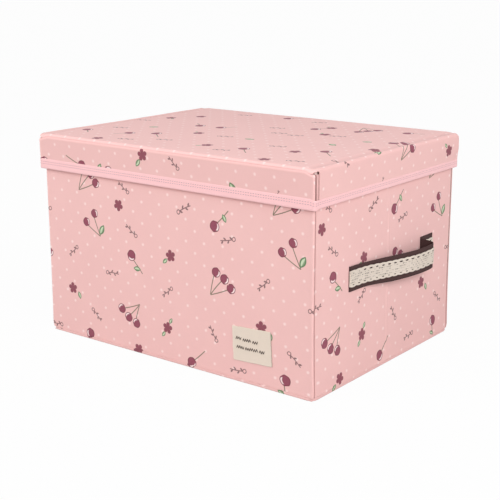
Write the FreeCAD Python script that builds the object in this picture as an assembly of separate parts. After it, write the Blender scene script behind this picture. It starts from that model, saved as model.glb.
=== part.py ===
"""Foldable cloth storage box with a lift-off lid, in millimetres.

The origin is the centre of the base on the surface that the box stands on. +X runs along
the long side, the front with its label faces -Y, and +Z is up. The case is printed cloth
over board, lined with plain cloth. Its front and rear walls stay flat and each end wall is
two half panels with a crease between them, so the ends fold inwards and the front wall
comes back to the rear one. A loose board in a sewn cover lies on the cloth base. The lid
is a covered board with four skirts, and each end carries a ribbon handle faced with lace.
"""

import FreeCAD, Part
import math
import os

os.makedirs("parts", exist_ok=True)

# Case
case_length = 396.0
case_width = 296.0
overall_height = 250.0

# Layers of a wall, from outside to inside
outer_cloth = 0.6
wall_board = 2.0
lining_cloth = 0.4
wall = outer_cloth + wall_board + lining_cloth

# Rim binding, a ribbon folded over the top edge of each wall panel
rim_ribbon = 0.4
rim_binding_height = 10.0

# Base
base_cloth_thickness = 0.8
base_board_thickness = 2.0
base_cover_cloth = 0.25
base_board_side_clearance = 0.6
welt_height = 2.6
foot_clearance = 0.2

# Lid
lid_side_clearance = 1.0
lid_top_board_thickness = 2.5
lid_rest_clearance = 0.3
skirt_height = 42.0
skirt_foot_ribbon = 0.4
lid_binding_height = 11.0
lid_trough_width = 13.0
lid_trough_depth = 0.8
corner_slit_width = 1.0
tuck_cloth = 0.5
tuck_gap = 0.1
board_end_gap = 0.2

# Folding joints
panel_end_gap = 0.3
crease_gap = 0.6

# Handles
handle_centre = 10.0
handle_slit_spacing = 182.0
handle_height = 119.0
strap_width = 27.0
strap_thickness = 1.0
lace_width = 18.0
lace_thickness = 0.6
slit_clearance = 0.2
strap_proud = 14.0
strap_sag = 8.0
strap_tail_depth = 2.4
strap_tab_length = 30.0
strap_bend_setback = 22.0
strap_bend_radius = 2.2
strap_fold_radius = 1.4
strap_exit_radius = 0.8
strap_wall_gap = 0.4
lace_end_clearance = 0.3
arc_steps = 6

# Sewn label on the front wall
label_width = 51.0
label_height = 38.0
label_thickness = 0.5
label_from_end = 80.0
label_from_base = 43.5
label_tilt_deg = 4.0

# Places worked out from the sizes above
half_length = case_length / 2
half_width = case_width / 2
floor_level = base_cloth_thickness
base_cover_top = floor_level + base_board_thickness + 2 * base_cover_cloth
wall_foot = floor_level + max(welt_height, base_cover_top - floor_level) + foot_clearance
lid_underside = overall_height - outer_cloth - lid_top_board_thickness - lining_cloth
rim_top = lid_underside - lid_rest_clearance
cloth_top = rim_top - rim_ribbon
lid_half_length = half_length + lid_side_clearance + wall
lid_half_width = half_width + lid_side_clearance + wall
skirt_foot = overall_height - skirt_height
skirt_cloth_foot = skirt_foot + skirt_foot_ribbon
corner_axis_inset = wall + rim_ribbon
panel_end = half_width - corner_axis_inset - panel_end_gap


def box(x_span, y_span, z_span):
    """Block between the low and high value of each span."""
    low = FreeCAD.Vector(x_span[0], y_span[0], z_span[0])
    return Part.makeBox(
        x_span[1] - x_span[0],
        y_span[1] - y_span[0],
        z_span[1] - z_span[0],
        low,
    )


def slab(facing, along, out, height):
    """Block of a wall that faces +X, -X, +Y or -Y.

    along is its span along the wall, out its distances from the centre of the box, and
    height its span up the wall.
    """
    sign = 1 if facing[0] == "+" else -1
    reach = (out[0], out[1]) if sign > 0 else (-out[1], -out[0])
    if facing[1] == "X":
        return box(reach, along, height)
    return box(along, reach, height)


def save(name, shape):
    """Write one piece to its own file."""
    shape.exportStep(os.path.join("parts", name + ".step"))


def wall_panel(name, facing, along, face, slit=None):
    """Board, outer cloth, lining and rim binding of one wall panel.

    The cloth covers the outside and turns over all four edges of the board, the lining
    closes the inside, and the ribbon folds over the top. slit is the place along the wall
    where a handle's end passes through the cloth and the board.
    """
    board_face = face - outer_cloth
    board_back = board_face - wall_board
    lining_back = face - wall
    board = slab(
        facing,
        (along[0] + outer_cloth, along[1] - outer_cloth),
        (board_back, board_face),
        (wall_foot + outer_cloth, cloth_top - outer_cloth),
    )
    cloth = slab(facing, along, (board_back, face), (wall_foot, cloth_top)).cut(board)
    lining = slab(facing, along, (lining_back, board_back), (wall_foot, cloth_top))
    ribbon = slab(
        facing,
        along,
        (lining_back - rim_ribbon, face + rim_ribbon),
        (rim_top - rim_binding_height, rim_top),
    )
    gripped = slab(facing, along, (lining_back, face), (wall_foot, cloth_top))
    if slit is not None:
        half_slit = strap_thickness / 2 + slit_clearance
        half_tall = strap_width / 2 + slit_clearance
        opening = slab(
            facing,
            (slit - half_slit, slit + half_slit),
            (board_back, face),
            (handle_height - half_tall, handle_height + half_tall),
        )
        board = board.cut(opening)
        cloth = cloth.cut(opening)
    save(name + "_board", board)
    save(name + "_cloth", cloth)
    save(name + "_lining", lining)
    save(name + "_rim_binding", ribbon.cut(gripped))


def case_walls():
    """Front and rear walls over the full length, and two half panels at each end."""
    full = (-half_length, half_length)
    wall_panel("front_wall", "-Y", full, half_width)
    wall_panel("rear_wall", "+Y", full, half_width)
    front_slit = handle_centre - handle_slit_spacing / 2
    rear_slit = handle_centre + handle_slit_spacing / 2
    for end, facing in (("right", "+X"), ("left", "-X")):
        front_half = (-panel_end, -crease_gap / 2)
        rear_half = (crease_gap / 2, panel_end)
        wall_panel(end + "_end_front", facing, front_half, half_length, front_slit)
        wall_panel(end + "_end_rear", facing, rear_half, half_length, rear_slit)


def base():
    """Cloth base, the welt round its edge, and the loose board in its sewn cover."""
    outline_x = (-half_length, half_length)
    outline_y = (-half_width, half_width)
    save("base_cloth", box(outline_x, outline_y, (0, floor_level)))
    welt_span = (floor_level, floor_level + welt_height)
    inner_x = (-half_length + wall, half_length - wall)
    inner_y = (-half_width + wall, half_width - wall)
    welt = box(outline_x, outline_y, welt_span).cut(box(inner_x, inner_y, welt_span))
    save("base_edge_welt", welt)
    cover_half_length = half_length - corner_axis_inset - base_board_side_clearance
    cover_half_width = half_width - corner_axis_inset - base_board_side_clearance
    board = box(
        (-cover_half_length + base_cover_cloth, cover_half_length - base_cover_cloth),
        (-cover_half_width + base_cover_cloth, cover_half_width - base_cover_cloth),
        (floor_level + base_cover_cloth, base_cover_top - base_cover_cloth),
    )
    cover = box(
        (-cover_half_length, cover_half_length),
        (-cover_half_width, cover_half_width),
        (floor_level, base_cover_top),
    )
    save("base_board", board)
    save("base_board_cover", cover.cut(board))


def extruded_profile(points, y_span):
    """Prism along Y of a closed outline in the XZ plane."""
    corners = [FreeCAD.Vector(x, y_span[0], z) for x, z in points]
    face = Part.Face(Part.makePolygon(corners + corners[:1]))
    return face.extrude(FreeCAD.Vector(0, y_span[1] - y_span[0], 0))


def lid_cloth_outline():
    """Outline of the cloth over the lid's top and ends, with a trough inside each end.

    The top board stops short of the ends, so the cloth dips between it and the skirt.
    """
    top = overall_height
    inner_edge = lid_half_length - outer_cloth
    trough_out = lid_half_length - outer_cloth - wall_board
    trough_in = trough_out - lid_trough_width
    trough_mid = (trough_out + trough_in) / 2
    outer = [
        (lid_half_length, skirt_cloth_foot),
        (lid_half_length, top),
        (trough_out, top),
        (trough_mid, top - lid_trough_depth),
        (trough_in, top),
    ]
    inner = [
        (trough_in, top - outer_cloth),
        (trough_mid, top - outer_cloth - lid_trough_depth),
        (trough_out, top - outer_cloth),
        (inner_edge, top - outer_cloth),
        (inner_edge, skirt_cloth_foot),
    ]
    left_outer = [(-x, z) for x, z in reversed(outer)]
    left_inner = [(-x, z) for x, z in reversed(inner)]
    return outer + left_outer + left_inner + inner


def lid():
    """Lid of a top board, four skirt boards, cloth, lining, corner tucks and binding."""
    cloth_span = lid_half_width - outer_cloth
    end_cloth_span = cloth_span - corner_slit_width
    outline = lid_cloth_outline()
    whole_cloth = extruded_profile(outline, (-cloth_span, cloth_span))
    skirt_top = overall_height - outer_cloth
    slit_span = (skirt_cloth_foot, skirt_top)
    for end in ("+X", "-X"):
        for along in ((-cloth_span, -end_cloth_span), (end_cloth_span, cloth_span)):
            reach = (lid_half_length - outer_cloth, lid_half_length)
            whole_cloth = whole_cloth.cut(slab(end, along, reach, slit_span))
    save("lid_cloth", whole_cloth)

    lining_half_length = lid_half_length - outer_cloth - wall_board
    lining_half_width = lid_half_width - outer_cloth - wall_board
    top_board_half_length = lining_half_length - lid_trough_width
    save("lid_top_board", box(
        (-top_board_half_length, top_board_half_length),
        (-lining_half_width, lining_half_width),
        (lid_underside + lining_cloth, skirt_top),
    ))
    lining = box(
        (-lining_half_length, lining_half_length),
        (-lining_half_width, lining_half_width),
        (skirt_cloth_foot, lid_underside + lining_cloth),
    )
    hollow = box(
        (-lining_half_length + lining_cloth, lining_half_length - lining_cloth),
        (-lining_half_width + lining_cloth, lining_half_width - lining_cloth),
        (skirt_cloth_foot, lid_underside),
    )
    save("lid_lining", lining.cut(hollow))

    for name, facing, inner_face, half_span in (
        ("right", "+X", lining_half_length, lining_half_width),
        ("left", "-X", lining_half_length, lining_half_width),
        ("front", "-Y", lining_half_width, lining_half_length),
        ("rear", "+Y", lining_half_width, lining_half_length),
    ):
        along = (-half_span + board_end_gap, half_span - board_end_gap)
        reach = (inner_face, inner_face + wall_board)
        board = slab(facing, along, reach, (skirt_cloth_foot, skirt_top - lid_trough_depth))
        save("lid_" + name + "_skirt_board", board)
    cloth_reach = (lid_half_width - outer_cloth, lid_half_width)
    skirt_along = (-lid_half_length + outer_cloth, lid_half_length - outer_cloth)
    for name, facing in (("front", "-Y"), ("rear", "+Y")):
        skirt = slab(facing, skirt_along, cloth_reach, (skirt_cloth_foot, overall_height))
        save("lid_" + name + "_skirt_cloth", skirt)

    tucks = [
        corner_tuck(x_side, y_side, (lining_half_length, lining_half_width))
        for x_side in (-1, 1)
        for y_side in (-1, 1)
    ]
    save("lid_corner_tucks", Part.makeCompound(tucks))

    ribbon = box(
        (-lid_half_length - skirt_foot_ribbon, lid_half_length + skirt_foot_ribbon),
        (-lid_half_width - skirt_foot_ribbon, lid_half_width + skirt_foot_ribbon),
        (skirt_foot, skirt_foot + lid_binding_height),
    )
    skirts = box(
        (-lid_half_length, lid_half_length),
        (-lid_half_width, lid_half_width),
        (skirt_cloth_foot, skirt_foot + lid_binding_height),
    )
    mouth = box(
        (-lid_half_length + wall, lid_half_length - wall),
        (-lid_half_width + wall, lid_half_width - wall),
        (skirt_foot, skirt_cloth_foot),
    )
    save("lid_binding", ribbon.cut(skirts).cut(mouth))


def corner_tuck(x_side, y_side, lining_corner):
    """Folded strip of cloth behind the open slit at one corner of the lid."""
    inner = (lining_corner[0] + tuck_gap, lining_corner[1] + tuck_gap)
    reach = wall_board - 2 * tuck_gap
    outer = (inner[0] + reach, inner[1] + reach)
    height = (skirt_cloth_foot, overall_height - outer_cloth - tuck_gap)
    x_signs = sorted((x_side * inner[0], x_side * outer[0]))
    y_signs = sorted((y_side * inner[1], y_side * outer[1]))
    fold_x = sorted((x_side * (outer[0] - tuck_cloth), x_side * outer[0]))
    fold_y = sorted((y_side * (outer[1] - tuck_cloth), y_side * outer[1]))
    across = box(x_signs, fold_y, height)
    return across.fuse(box(fold_x, y_signs, height)).removeSplitter()


def rounded_path(corners, radii):
    """Points of a path through straight runs joined by tangent arcs.

    Each inner corner is replaced by an arc of its radius, cut into equal steps, so every
    point of the result comes from the corner's two directions.
    """
    path = [corners[0]]
    for before, corner, after, radius in zip(corners, corners[1:], corners[2:], radii):
        back = unit(corner, before)
        ahead = unit(corner, after)
        between = math.acos(back[0] * ahead[0] + back[1] * ahead[1])
        to_centre = radius / math.sin(between / 2)
        middle = (back[0] + ahead[0], back[1] + ahead[1])
        size = math.hypot(*middle)
        centre = tuple(c + to_centre * m / size for c, m in zip(corner, middle))
        to_tangent = radius / math.tan(between / 2)
        start = tuple(c + to_tangent * b for c, b in zip(corner, back))
        end = tuple(c + to_tangent * a for c, a in zip(corner, ahead))
        first = math.atan2(start[1] - centre[1], start[0] - centre[0])
        last = math.atan2(end[1] - centre[1], end[0] - centre[0])
        sweep = (last - first + math.pi) % (2 * math.pi) - math.pi
        for step in range(arc_steps + 1):
            angle = first + sweep * step / arc_steps
            path.append((
                centre[0] + radius * math.cos(angle),
                centre[1] + radius * math.sin(angle),
            ))
    path.append(corners[-1])
    return path


def unit(start, end):
    """Direction from one point to another, of length 1."""
    length = math.dist(start, end)
    return ((end[0] - start[0]) / length, (end[1] - start[1]) / length)


def ribbon_solid(path, heights, width, thickness, offset, side):
    """Upright ribbon along a path, with its middle line at the given heights.

    The path holds distances along the end wall and out from its face. offset moves the
    ribbon out from the path towards its outer face, as the lace lies on the strap. side
    is +1 for the right end of the case and -1 for the left.
    """
    rows = []
    for index, point in enumerate(path):
        before = path[max(index - 1, 0)]
        after = path[min(index + 1, len(path) - 1)]
        into = unit(before, point) if index > 0 else unit(point, after)
        out_of = unit(point, after) if index < len(path) - 1 else into
        normal = (-(into[1] + out_of[1]), into[0] + out_of[0])
        size = math.hypot(*normal)
        spread = 2 / size
        row = []
        for reach in (offset - thickness / 2, offset + thickness / 2):
            along = point[0] + normal[0] / size * reach * spread
            out = point[1] + normal[1] / size * reach * spread
            for lift in (-width / 2, width / 2):
                x = side * (half_length + out)
                row.append(FreeCAD.Vector(x, along, heights[index] + lift))
        rows.append(row)
    faces = [polygon_face([rows[0][0], rows[0][1], rows[0][3], rows[0][2]])]
    faces.append(polygon_face([rows[-1][0], rows[-1][1], rows[-1][3], rows[-1][2]]))
    for low, high in zip(rows, rows[1:]):
        faces.append(polygon_face([low[0], high[0], high[1], low[1]]))
        faces.append(polygon_face([low[2], high[2], high[3], low[3]]))
        for inner, outer in ((0, 2), (1, 3)):
            faces.append(polygon_face([low[inner], high[inner], high[outer]]))
            faces.append(polygon_face([low[inner], high[outer], low[outer]]))
    solid = Part.makeSolid(Part.makeShell(faces))
    if solid.Volume < 0:
        solid.reverse()
    return solid


def polygon_face(corners):
    """Flat face with the given corners."""
    return Part.Face(Part.makePolygon(corners + corners[:1]))


def handle(name, side):
    """Ribbon strap and its lace on one end of the case.

    From the front slit the strap stands further and further off the wall, bends back just
    short of the rear slit, folds again on the wall and runs flat into that slit, which
    leaves the slack that a hand needs.
    """
    front_slit = handle_centre - handle_slit_spacing / 2
    rear_slit = handle_centre + handle_slit_spacing / 2
    lie = strap_wall_gap + strap_thickness / 2
    fold = rear_slit - strap_tab_length
    bend = rear_slit - strap_bend_setback
    corners = [
        (front_slit, -strap_tail_depth),
        (front_slit, lie),
        (bend, strap_proud),
        (fold, lie),
        (rear_slit, lie),
        (rear_slit, -strap_tail_depth),
    ]
    radii = [strap_exit_radius, strap_bend_radius, strap_fold_radius, strap_exit_radius]
    path = rounded_path(corners, radii)
    heights = [handle_height - sag_at(point, front_slit, bend, rear_slit) for point in path]
    strap = ribbon_solid(path, heights, strap_width, strap_thickness, 0.0, side)
    save(name + "_handle_strap", strap)
    clear_of_wall = lace_end_clearance
    first = next(i for i, point in enumerate(path) if point[1] > clear_of_wall)
    last = max(i for i, point in enumerate(path) if point[1] > clear_of_wall)
    offset = (strap_thickness + lace_thickness) / 2
    lace = ribbon_solid(
        path[first:last + 1],
        heights[first:last + 1],
        lace_width,
        lace_thickness,
        offset,
        side,
    )
    save(name + "_handle_lace", lace)


def sag_at(point, front_slit, bend, rear_slit):
    """Drop of the strap's middle line, full at the bend and none at the two slits.

    In front of the bend it follows the way along the wall. Behind it, it follows how far
    the strap still stands off the wall.
    """
    along = (point[0] - front_slit) / (bend - front_slit)
    off_wall = max(point[1], 0) / strap_proud
    return strap_sag * max(0, min(along, off_wall, 1))


def label():
    """Sewn cloth label on the front wall, turned a little to the left."""
    plate = box(
        (-label_width / 2, label_width / 2),
        (-half_width - label_thickness, -half_width),
        (-label_height / 2, label_height / 2),
    )
    plate.rotate(FreeCAD.Vector(0, 0, 0), FreeCAD.Vector(0, 1, 0), -label_tilt_deg)
    plate.translate(FreeCAD.Vector(half_length - label_from_end, 0, label_from_base))
    save("label", plate)


case_walls()
base()
lid()
handle("right", 1)
handle("left", -1)
label()
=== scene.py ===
"""Looks of a foldable cloth storage box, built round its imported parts.

Sizes are in millimetres until a mesh is made. +X runs along the long side, the front faces
-Y and +Z is up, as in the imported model. Every cloth is a grid of points that also carries
the cloth's own flat coordinates, so the print and the weave follow the cloth round a fold.
"""

import logging
import math
from collections.abc import Callable
from dataclasses import dataclass, field
from enum import Enum
from functools import cache

import bpy
import numpy as np
from mathutils import Matrix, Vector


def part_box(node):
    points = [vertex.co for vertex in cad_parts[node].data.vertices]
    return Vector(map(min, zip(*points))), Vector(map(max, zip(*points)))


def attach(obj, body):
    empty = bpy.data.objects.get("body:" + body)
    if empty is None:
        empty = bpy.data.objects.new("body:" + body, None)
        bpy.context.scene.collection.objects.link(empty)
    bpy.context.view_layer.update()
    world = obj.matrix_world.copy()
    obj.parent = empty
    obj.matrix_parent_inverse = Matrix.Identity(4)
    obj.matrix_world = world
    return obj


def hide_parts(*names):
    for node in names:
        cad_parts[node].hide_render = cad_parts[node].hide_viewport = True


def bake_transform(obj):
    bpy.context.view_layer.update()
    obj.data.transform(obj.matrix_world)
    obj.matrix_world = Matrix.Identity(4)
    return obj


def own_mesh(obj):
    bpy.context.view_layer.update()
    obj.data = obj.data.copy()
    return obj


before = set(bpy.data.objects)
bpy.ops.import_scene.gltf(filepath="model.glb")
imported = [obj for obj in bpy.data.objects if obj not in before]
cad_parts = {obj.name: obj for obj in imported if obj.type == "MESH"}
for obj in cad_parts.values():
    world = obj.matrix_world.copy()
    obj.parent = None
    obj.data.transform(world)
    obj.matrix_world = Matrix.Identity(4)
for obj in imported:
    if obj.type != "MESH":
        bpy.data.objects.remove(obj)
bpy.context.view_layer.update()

log = logging.getLogger("storage_box")

METRES = 0.001
SHARP_ANGLE = math.radians(55)
FAR_AWAY = 9.0
LINING_THICKNESS = 0.4
Point = tuple[float, float]
Row = tuple[Point, Point, float]


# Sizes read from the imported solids


def node_box(name: str) -> tuple[np.ndarray, np.ndarray]:
    """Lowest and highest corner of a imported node, in millimetres."""
    low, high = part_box(name)
    return np.array(low) / METRES, np.array(high) / METRES


@dataclass(frozen=True)
class Sizes:
    """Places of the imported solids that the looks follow."""

    half_length: float
    half_width: float
    wall: float
    wall_foot: float
    cloth_top: float
    rim_top: float
    lid_half_length: float
    lid_half_width: float
    lid_top: float
    lid_underside: float
    skirt_foot: float
    binding_top: float
    floor_level: float
    cover_top: float

    @classmethod
    def read(cls) -> "Sizes":
        """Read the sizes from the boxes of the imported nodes."""
        wall_low, wall_high = node_box("front_wall_cloth")
        lid_high = node_box("lid_cloth")[1]
        binding_low, binding_high = node_box("lid_binding")
        return cls(
            half_length=wall_high[0],
            half_width=-wall_low[1],
            wall=node_box("front_wall_lining")[1][1] - wall_low[1],
            wall_foot=wall_low[2],
            cloth_top=wall_high[2],
            rim_top=node_box("front_wall_rim_binding")[1][2],
            lid_half_length=lid_high[0],
            lid_half_width=node_box("lid_rear_skirt_cloth")[1][1],
            lid_top=lid_high[2],
            lid_underside=node_box("lid_top_board")[0][2] - LINING_THICKNESS,
            skirt_foot=binding_low[2],
            binding_top=binding_high[2],
            floor_level=node_box("base_cloth")[1][2],
            cover_top=node_box("base_board_cover")[1][2],
        )


SIZES = Sizes.read()


# Grids of points


def unit(vector: np.ndarray) -> np.ndarray:
    """Vectors scaled to length 1."""
    return vector / np.maximum(np.linalg.norm(vector, axis=-1, keepdims=True), 1e-9)


def smooth_step(value: np.ndarray) -> np.ndarray:
    """Ease from 0 to 1 as the value goes from 0 to 1, flat at both ends."""
    held = np.clip(value, 0, 1)
    return held * held * (3 - 2 * held)


def hump(value: np.ndarray, centre: float, width: float) -> np.ndarray:
    """Bell curve of height 1 about a centre."""
    return np.exp(-(((value - centre) / width) ** 2))


def ripple(first: np.ndarray, second: np.ndarray, seed: int) -> np.ndarray:
    """Slow unevenness of a glued cloth: five plane waves of random direction.

    Args:
        first: one coordinate of each point.
        second: its other coordinate.
        seed: start of the random draws.

    Returns:
        A height for each point, about 1 at most.
    """
    draw = np.random.default_rng(seed)
    total = np.zeros(np.broadcast(first, second).shape)
    for wavelength in (150, 95, 60, 38, 24):
        turn, phase = draw.uniform(0, 2 * math.pi, 2)
        way = first * math.cos(turn) + second * math.sin(turn)
        total += wavelength / 150 * np.sin(2 * math.pi * way / wavelength + phase)
    return total / 2


def steps(start: float, stop: float, cell: float) -> np.ndarray:
    """Evenly spaced values from start to stop, about a cell apart."""
    count = max(1, round(abs(stop - start) / cell))
    return np.linspace(start, stop, count + 1)


def chain(*parts: np.ndarray) -> np.ndarray:
    """Join runs of values end to end, each next run without its first value."""
    return np.concatenate([parts[0]] + [part[1:] for part in parts[1:]])


def mirrored(values: np.ndarray, sign: int = -1) -> np.ndarray:
    """Values with their mirror image before them, times the sign, about the first value."""
    return np.concatenate([sign * values[:0:-1], values])


def walked(first: np.ndarray, second: np.ndarray) -> np.ndarray:
    """Length walked to each point of a line in the plane."""
    return np.concatenate([[0], np.cumsum(np.hypot(np.diff(first), np.diff(second)))])


def grid(*parts: np.ndarray) -> np.ndarray:
    """Grid of points whose coordinates are the parts, each spread over the whole grid."""
    return np.stack(np.broadcast_arrays(*parts), axis=-1).astype(float)


# A grid that rises less than this is level, and faces up if it lies above the base
LEVEL_RANGE = 20.0
BASE_LEVEL = 1.0


@dataclass
class Surface:
    """Grid of points on the outer face of a cloth, with the cloth's flat coordinates.

    points is rows x columns x 3. flat is rows x columns x 2, or one column more where the
    columns close into a ring. Columns x rows turn, right-handed, to the outer side.
    """

    points: np.ndarray
    flat: np.ndarray
    ring: bool = False

    def normals(self) -> np.ndarray:
        """Unit normals: the cross product of the two grid directions at each point."""
        if self.ring:
            across = np.roll(self.points, -1, 1) - np.roll(self.points, 1, 1)
        else:
            across = np.gradient(self.points, axis=1)
        return unit(np.cross(across, np.gradient(self.points, axis=0)))

    def faced(self, outward: bool) -> "Surface":
        """The same grid, turned over if its normals don't point away from the centre."""
        middle = np.array([0.0, 0.0, SIZES.lid_top / 2])
        way = np.sum(self.normals() * (self.points - middle))
        if np.ptp(self.points[..., 2]) < LEVEL_RANGE and not self.ring:
            above_base = np.sign(self.points[..., 2].mean() - BASE_LEVEL)
            way = np.sum(self.normals()[..., 2] * above_base)
        if (way > 0) == outward:
            return self
        return Surface(self.points[:, ::-1], self.flat[:, ::-1], self.ring)


def strip_quads(ids: np.ndarray) -> np.ndarray:
    """Four-cornered faces of a stack of grids of indices, from columns to rows."""
    corners = (ids[:, :-1, :-1], ids[:, :-1, 1:], ids[:, 1:, 1:], ids[:, 1:, :-1])
    return np.stack(corners, axis=-1).reshape(-1, 4)


def quads(ids: np.ndarray) -> np.ndarray:
    """Four-cornered faces of one grid of indices."""
    return strip_quads(ids[None])


def closed_faces(ids: np.ndarray, under: np.ndarray, ring: bool) -> tuple[np.ndarray, int]:
    """Faces of a sheet: its outer side, then its inner side and the strips at its edges.

    Args:
        ids: indices of the outer grid, with the first column repeated last for a ring.
        under: indices of the inner grid, in the same order.
        ring: whether the columns close.

    Returns:
        The faces, and how many of them belong to the outer side.
    """
    outer = quads(ids)
    edges = [(ids[0], under[0], True), (ids[-1], under[-1], False)]
    if not ring:
        edges += [(ids[:, 0], under[:, 0], False), (ids[:, -1], under[:, -1], True)]
    strips = []
    for top, low, turned in edges:
        strip = np.stack([top[:-1], top[1:], low[1:], low[:-1]], axis=-1)
        strips.append(strip[:, ::-1] if turned else strip)
    return np.concatenate([outer, quads(under)[:, ::-1], *strips]), len(outer)


def mesh_from(name: str, vertices: np.ndarray, faces: np.ndarray) -> bpy.types.Mesh:
    """Mesh of four-cornered faces, smooth except where it turns sharply.

    Args:
        name: name of the mesh.
        vertices: one row of millimetres for each vertex.
        faces: one row of four indices for each face.
    """
    mesh = bpy.data.meshes.new(name)
    mesh.vertices.add(len(vertices))
    mesh.vertices.foreach_set("co", (vertices * METRES).astype(np.float32).ravel())
    mesh.loops.add(faces.size)
    mesh.loops.foreach_set("vertex_index", faces.astype(np.int32).ravel())
    mesh.polygons.add(len(faces))
    starts = np.arange(0, faces.size, faces.shape[1], dtype=np.int32)
    mesh.polygons.foreach_set("loop_start", starts)
    mesh.update(calc_edges=True)
    mesh.validate()
    mesh.shade_smooth()
    mesh.set_sharp_from_angle(angle=SHARP_ANGLE)
    return mesh


# The print on the cloth


CHERRY_RADIUS = 6.6
FLOWER_RADIUS = 7.2
LEAF_START = 6.5
LEAF_SHARE = 0.68
ACROSS_TURN = 7.3
UP_TURN = 3.1
STEM_BOW = 0.02
PETALS = 5
DOT_STEP = 25.6


@dataclass
class Motifs:
    """Motifs of one length of cloth, in its flat coordinates.

    Each row holds two points and one number: for a cherry its centre, a point on the side
    of its highlight and its radius, for a stem its ends and the side that it bows to, for a
    leaf its base and tip, for a flower its centre, the centre of a petal and a seed, and
    for a sprig its ends and the side of its curl.
    """

    cherries: list[Row] = field(default_factory=list)
    stems: list[Row] = field(default_factory=list)
    leaves: list[Row] = field(default_factory=list)
    flowers: list[Row] = field(default_factory=list)
    sprigs: list[Row] = field(default_factory=list)

    def cherry(self, centre: Point, stem_end: Point, side: Point, bow: float = 1.0) -> None:
        """Add a cherry with its highlight on the given side, and its bowed stem."""
        self.cherries.append((centre, tuple(np.add(centre, side)), CHERRY_RADIUS))
        self.stems.append((stem_end, centre, bow))

    def bunch(self, meet: Point, centres: list[Point], radius: float, side: Point) -> None:
        """Add cherries whose stems meet, all with their highlight on the same side."""
        for number, centre in enumerate(centres):
            self.cherries.append((centre, tuple(np.add(centre, side)), radius))
            self.stems.append((meet, centre, 1.0 - number))

    def leaf(self, base: Point, tip: Point) -> None:
        """Add a leaf."""
        self.leaves.append((base, tip, 1.0))

    def sprig(self, start: Point, end: Point) -> None:
        """Add a sprig, with its bud at the start."""
        self.sprigs.append((start, end, 1.0))

    def flower(self, centre: Point, *leaf_tips: Point) -> None:
        """Add a flower, turned by a sum of its coordinates, and its leaves."""
        turn = (centre[0] * ACROSS_TURN + centre[1] * UP_TURN) % math.tau
        petal = (
            centre[0] + FLOWER_RADIUS * math.cos(turn),
            centre[1] + FLOWER_RADIUS * math.sin(turn),
        )
        self.flowers.append((centre, petal, turn % 1))
        for tip in leaf_tips:
            base = np.add(centre, unit(np.subtract(tip, centre)) * LEAF_START)
            self.leaf(tuple(base), tuple(base + (np.array(tip) - base) * LEAF_SHARE))

    def mapped(self, change: Callable[[Point], Point]) -> "Motifs":
        """Copy of these motifs, with a change made to each of their points."""
        return Motifs(**{
            kind: [(change(first), change(second), number) for first, second, number in rows]
            for kind, rows in vars(self).items()
        })

    def moved(self, across: float, up: float) -> "Motifs":
        """Copy of these motifs, moved over the cloth."""
        return self.mapped(lambda point: (point[0] + across, point[1] + up))

    def mirrored(self) -> "Motifs":
        """Copy of these motifs, with left and right changed over."""
        return self.mapped(lambda point: (-point[0], point[1]))

    def join(self, other: "Motifs") -> None:
        """Take over the motifs of another length of cloth."""
        for kind, rows in vars(self).items():
            rows.extend(getattr(other, kind))


class Kind(Enum):
    """Kinds of motif: the list that holds them and the mesh attributes that place them."""

    CHERRY = ("cherries", ("cherry",))
    STEM = ("stems", ("stem_near", "stem_next"))
    LEAF = ("leaves", ("leaf",))
    FLOWER = ("flowers", ("flower",))
    SPRIG = ("sprigs", ("sprig",))

    def distance(self, along: np.ndarray, across: np.ndarray, size: np.ndarray) -> np.ndarray:
        """Distance in millimetres from each point to each motif of this kind."""
        if self in (Kind.CHERRY, Kind.FLOWER):
            return (np.hypot(along, across) - 1) * size
        held = np.clip(along, 0, 1)
        middle = 4 * STEM_BOW * held * (1 - held) if self is Kind.STEM else 0
        return np.hypot(along - held, across - middle) * size


def motif_places(flat: np.ndarray, motifs: Motifs, kind: Kind) -> list[np.ndarray]:
    """Where each face's corners lie in its nearest motif's own frame.

    The frame's first coordinate is 0 at the motif's first point and 1 at its second, or 1 at
    the rim for a cherry and a flower. The second is at right angles to it, on the same scale.
    The third holds the stem's length, or the motif's own number.

    Args:
        flat: faces x 4 x 2, the flat coordinates of each face's corners.
        motifs: the motifs on this cloth.
        kind: the kind to place.

    Returns:
        One array of faces x 4 x 3 for each attribute of the kind, nearest motif first.
    """
    list_name, attributes = kind.value
    rows = getattr(motifs, list_name)
    far = np.full((len(flat), 4, 3), FAR_AWAY)
    if not rows:
        return [far for _ in attributes]
    start = np.array([row[0] for row in rows])
    way = np.array([row[1] for row in rows]) - start
    number = np.array([row[2] for row in rows])
    size = np.linalg.norm(way, axis=1)
    if kind is Kind.CHERRY:
        size = number
    heading = unit(way)
    flip = np.where(number < 0, -1.0, 1.0) if kind in (Kind.STEM, Kind.SPRIG) else 1.0
    aside = np.stack([-heading[:, 1], heading[:, 0]], axis=1) * np.reshape(flip, (-1, 1))
    middle = flat.mean(axis=1)
    away = middle[:, None] - start[None]
    along = np.sum(away * heading, axis=2) / size
    across = np.sum(away * aside, axis=2) / size
    order = np.argsort(kind.distance(along, across, size), axis=1)
    places = []
    for rank in range(len(attributes)):
        pick = order[:, min(rank, len(rows) - 1)]
        gap = flat - start[pick][:, None]
        third = size if kind is Kind.STEM else np.abs(number)
        places.append(np.stack([
            np.sum(gap * heading[pick][:, None], axis=2) / size[pick][:, None],
            np.sum(gap * aside[pick][:, None], axis=2) / size[pick][:, None],
            np.repeat(third[pick][:, None], 4, axis=1),
        ], axis=2))
    return places


# Where each side starts in the print's flat length, from the front left corner

FRONT_LENGTH = 396.0
REAR_START = 692.0
LEFT_START = 1088.0
PRINT_ROUND = 1384.0


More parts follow.
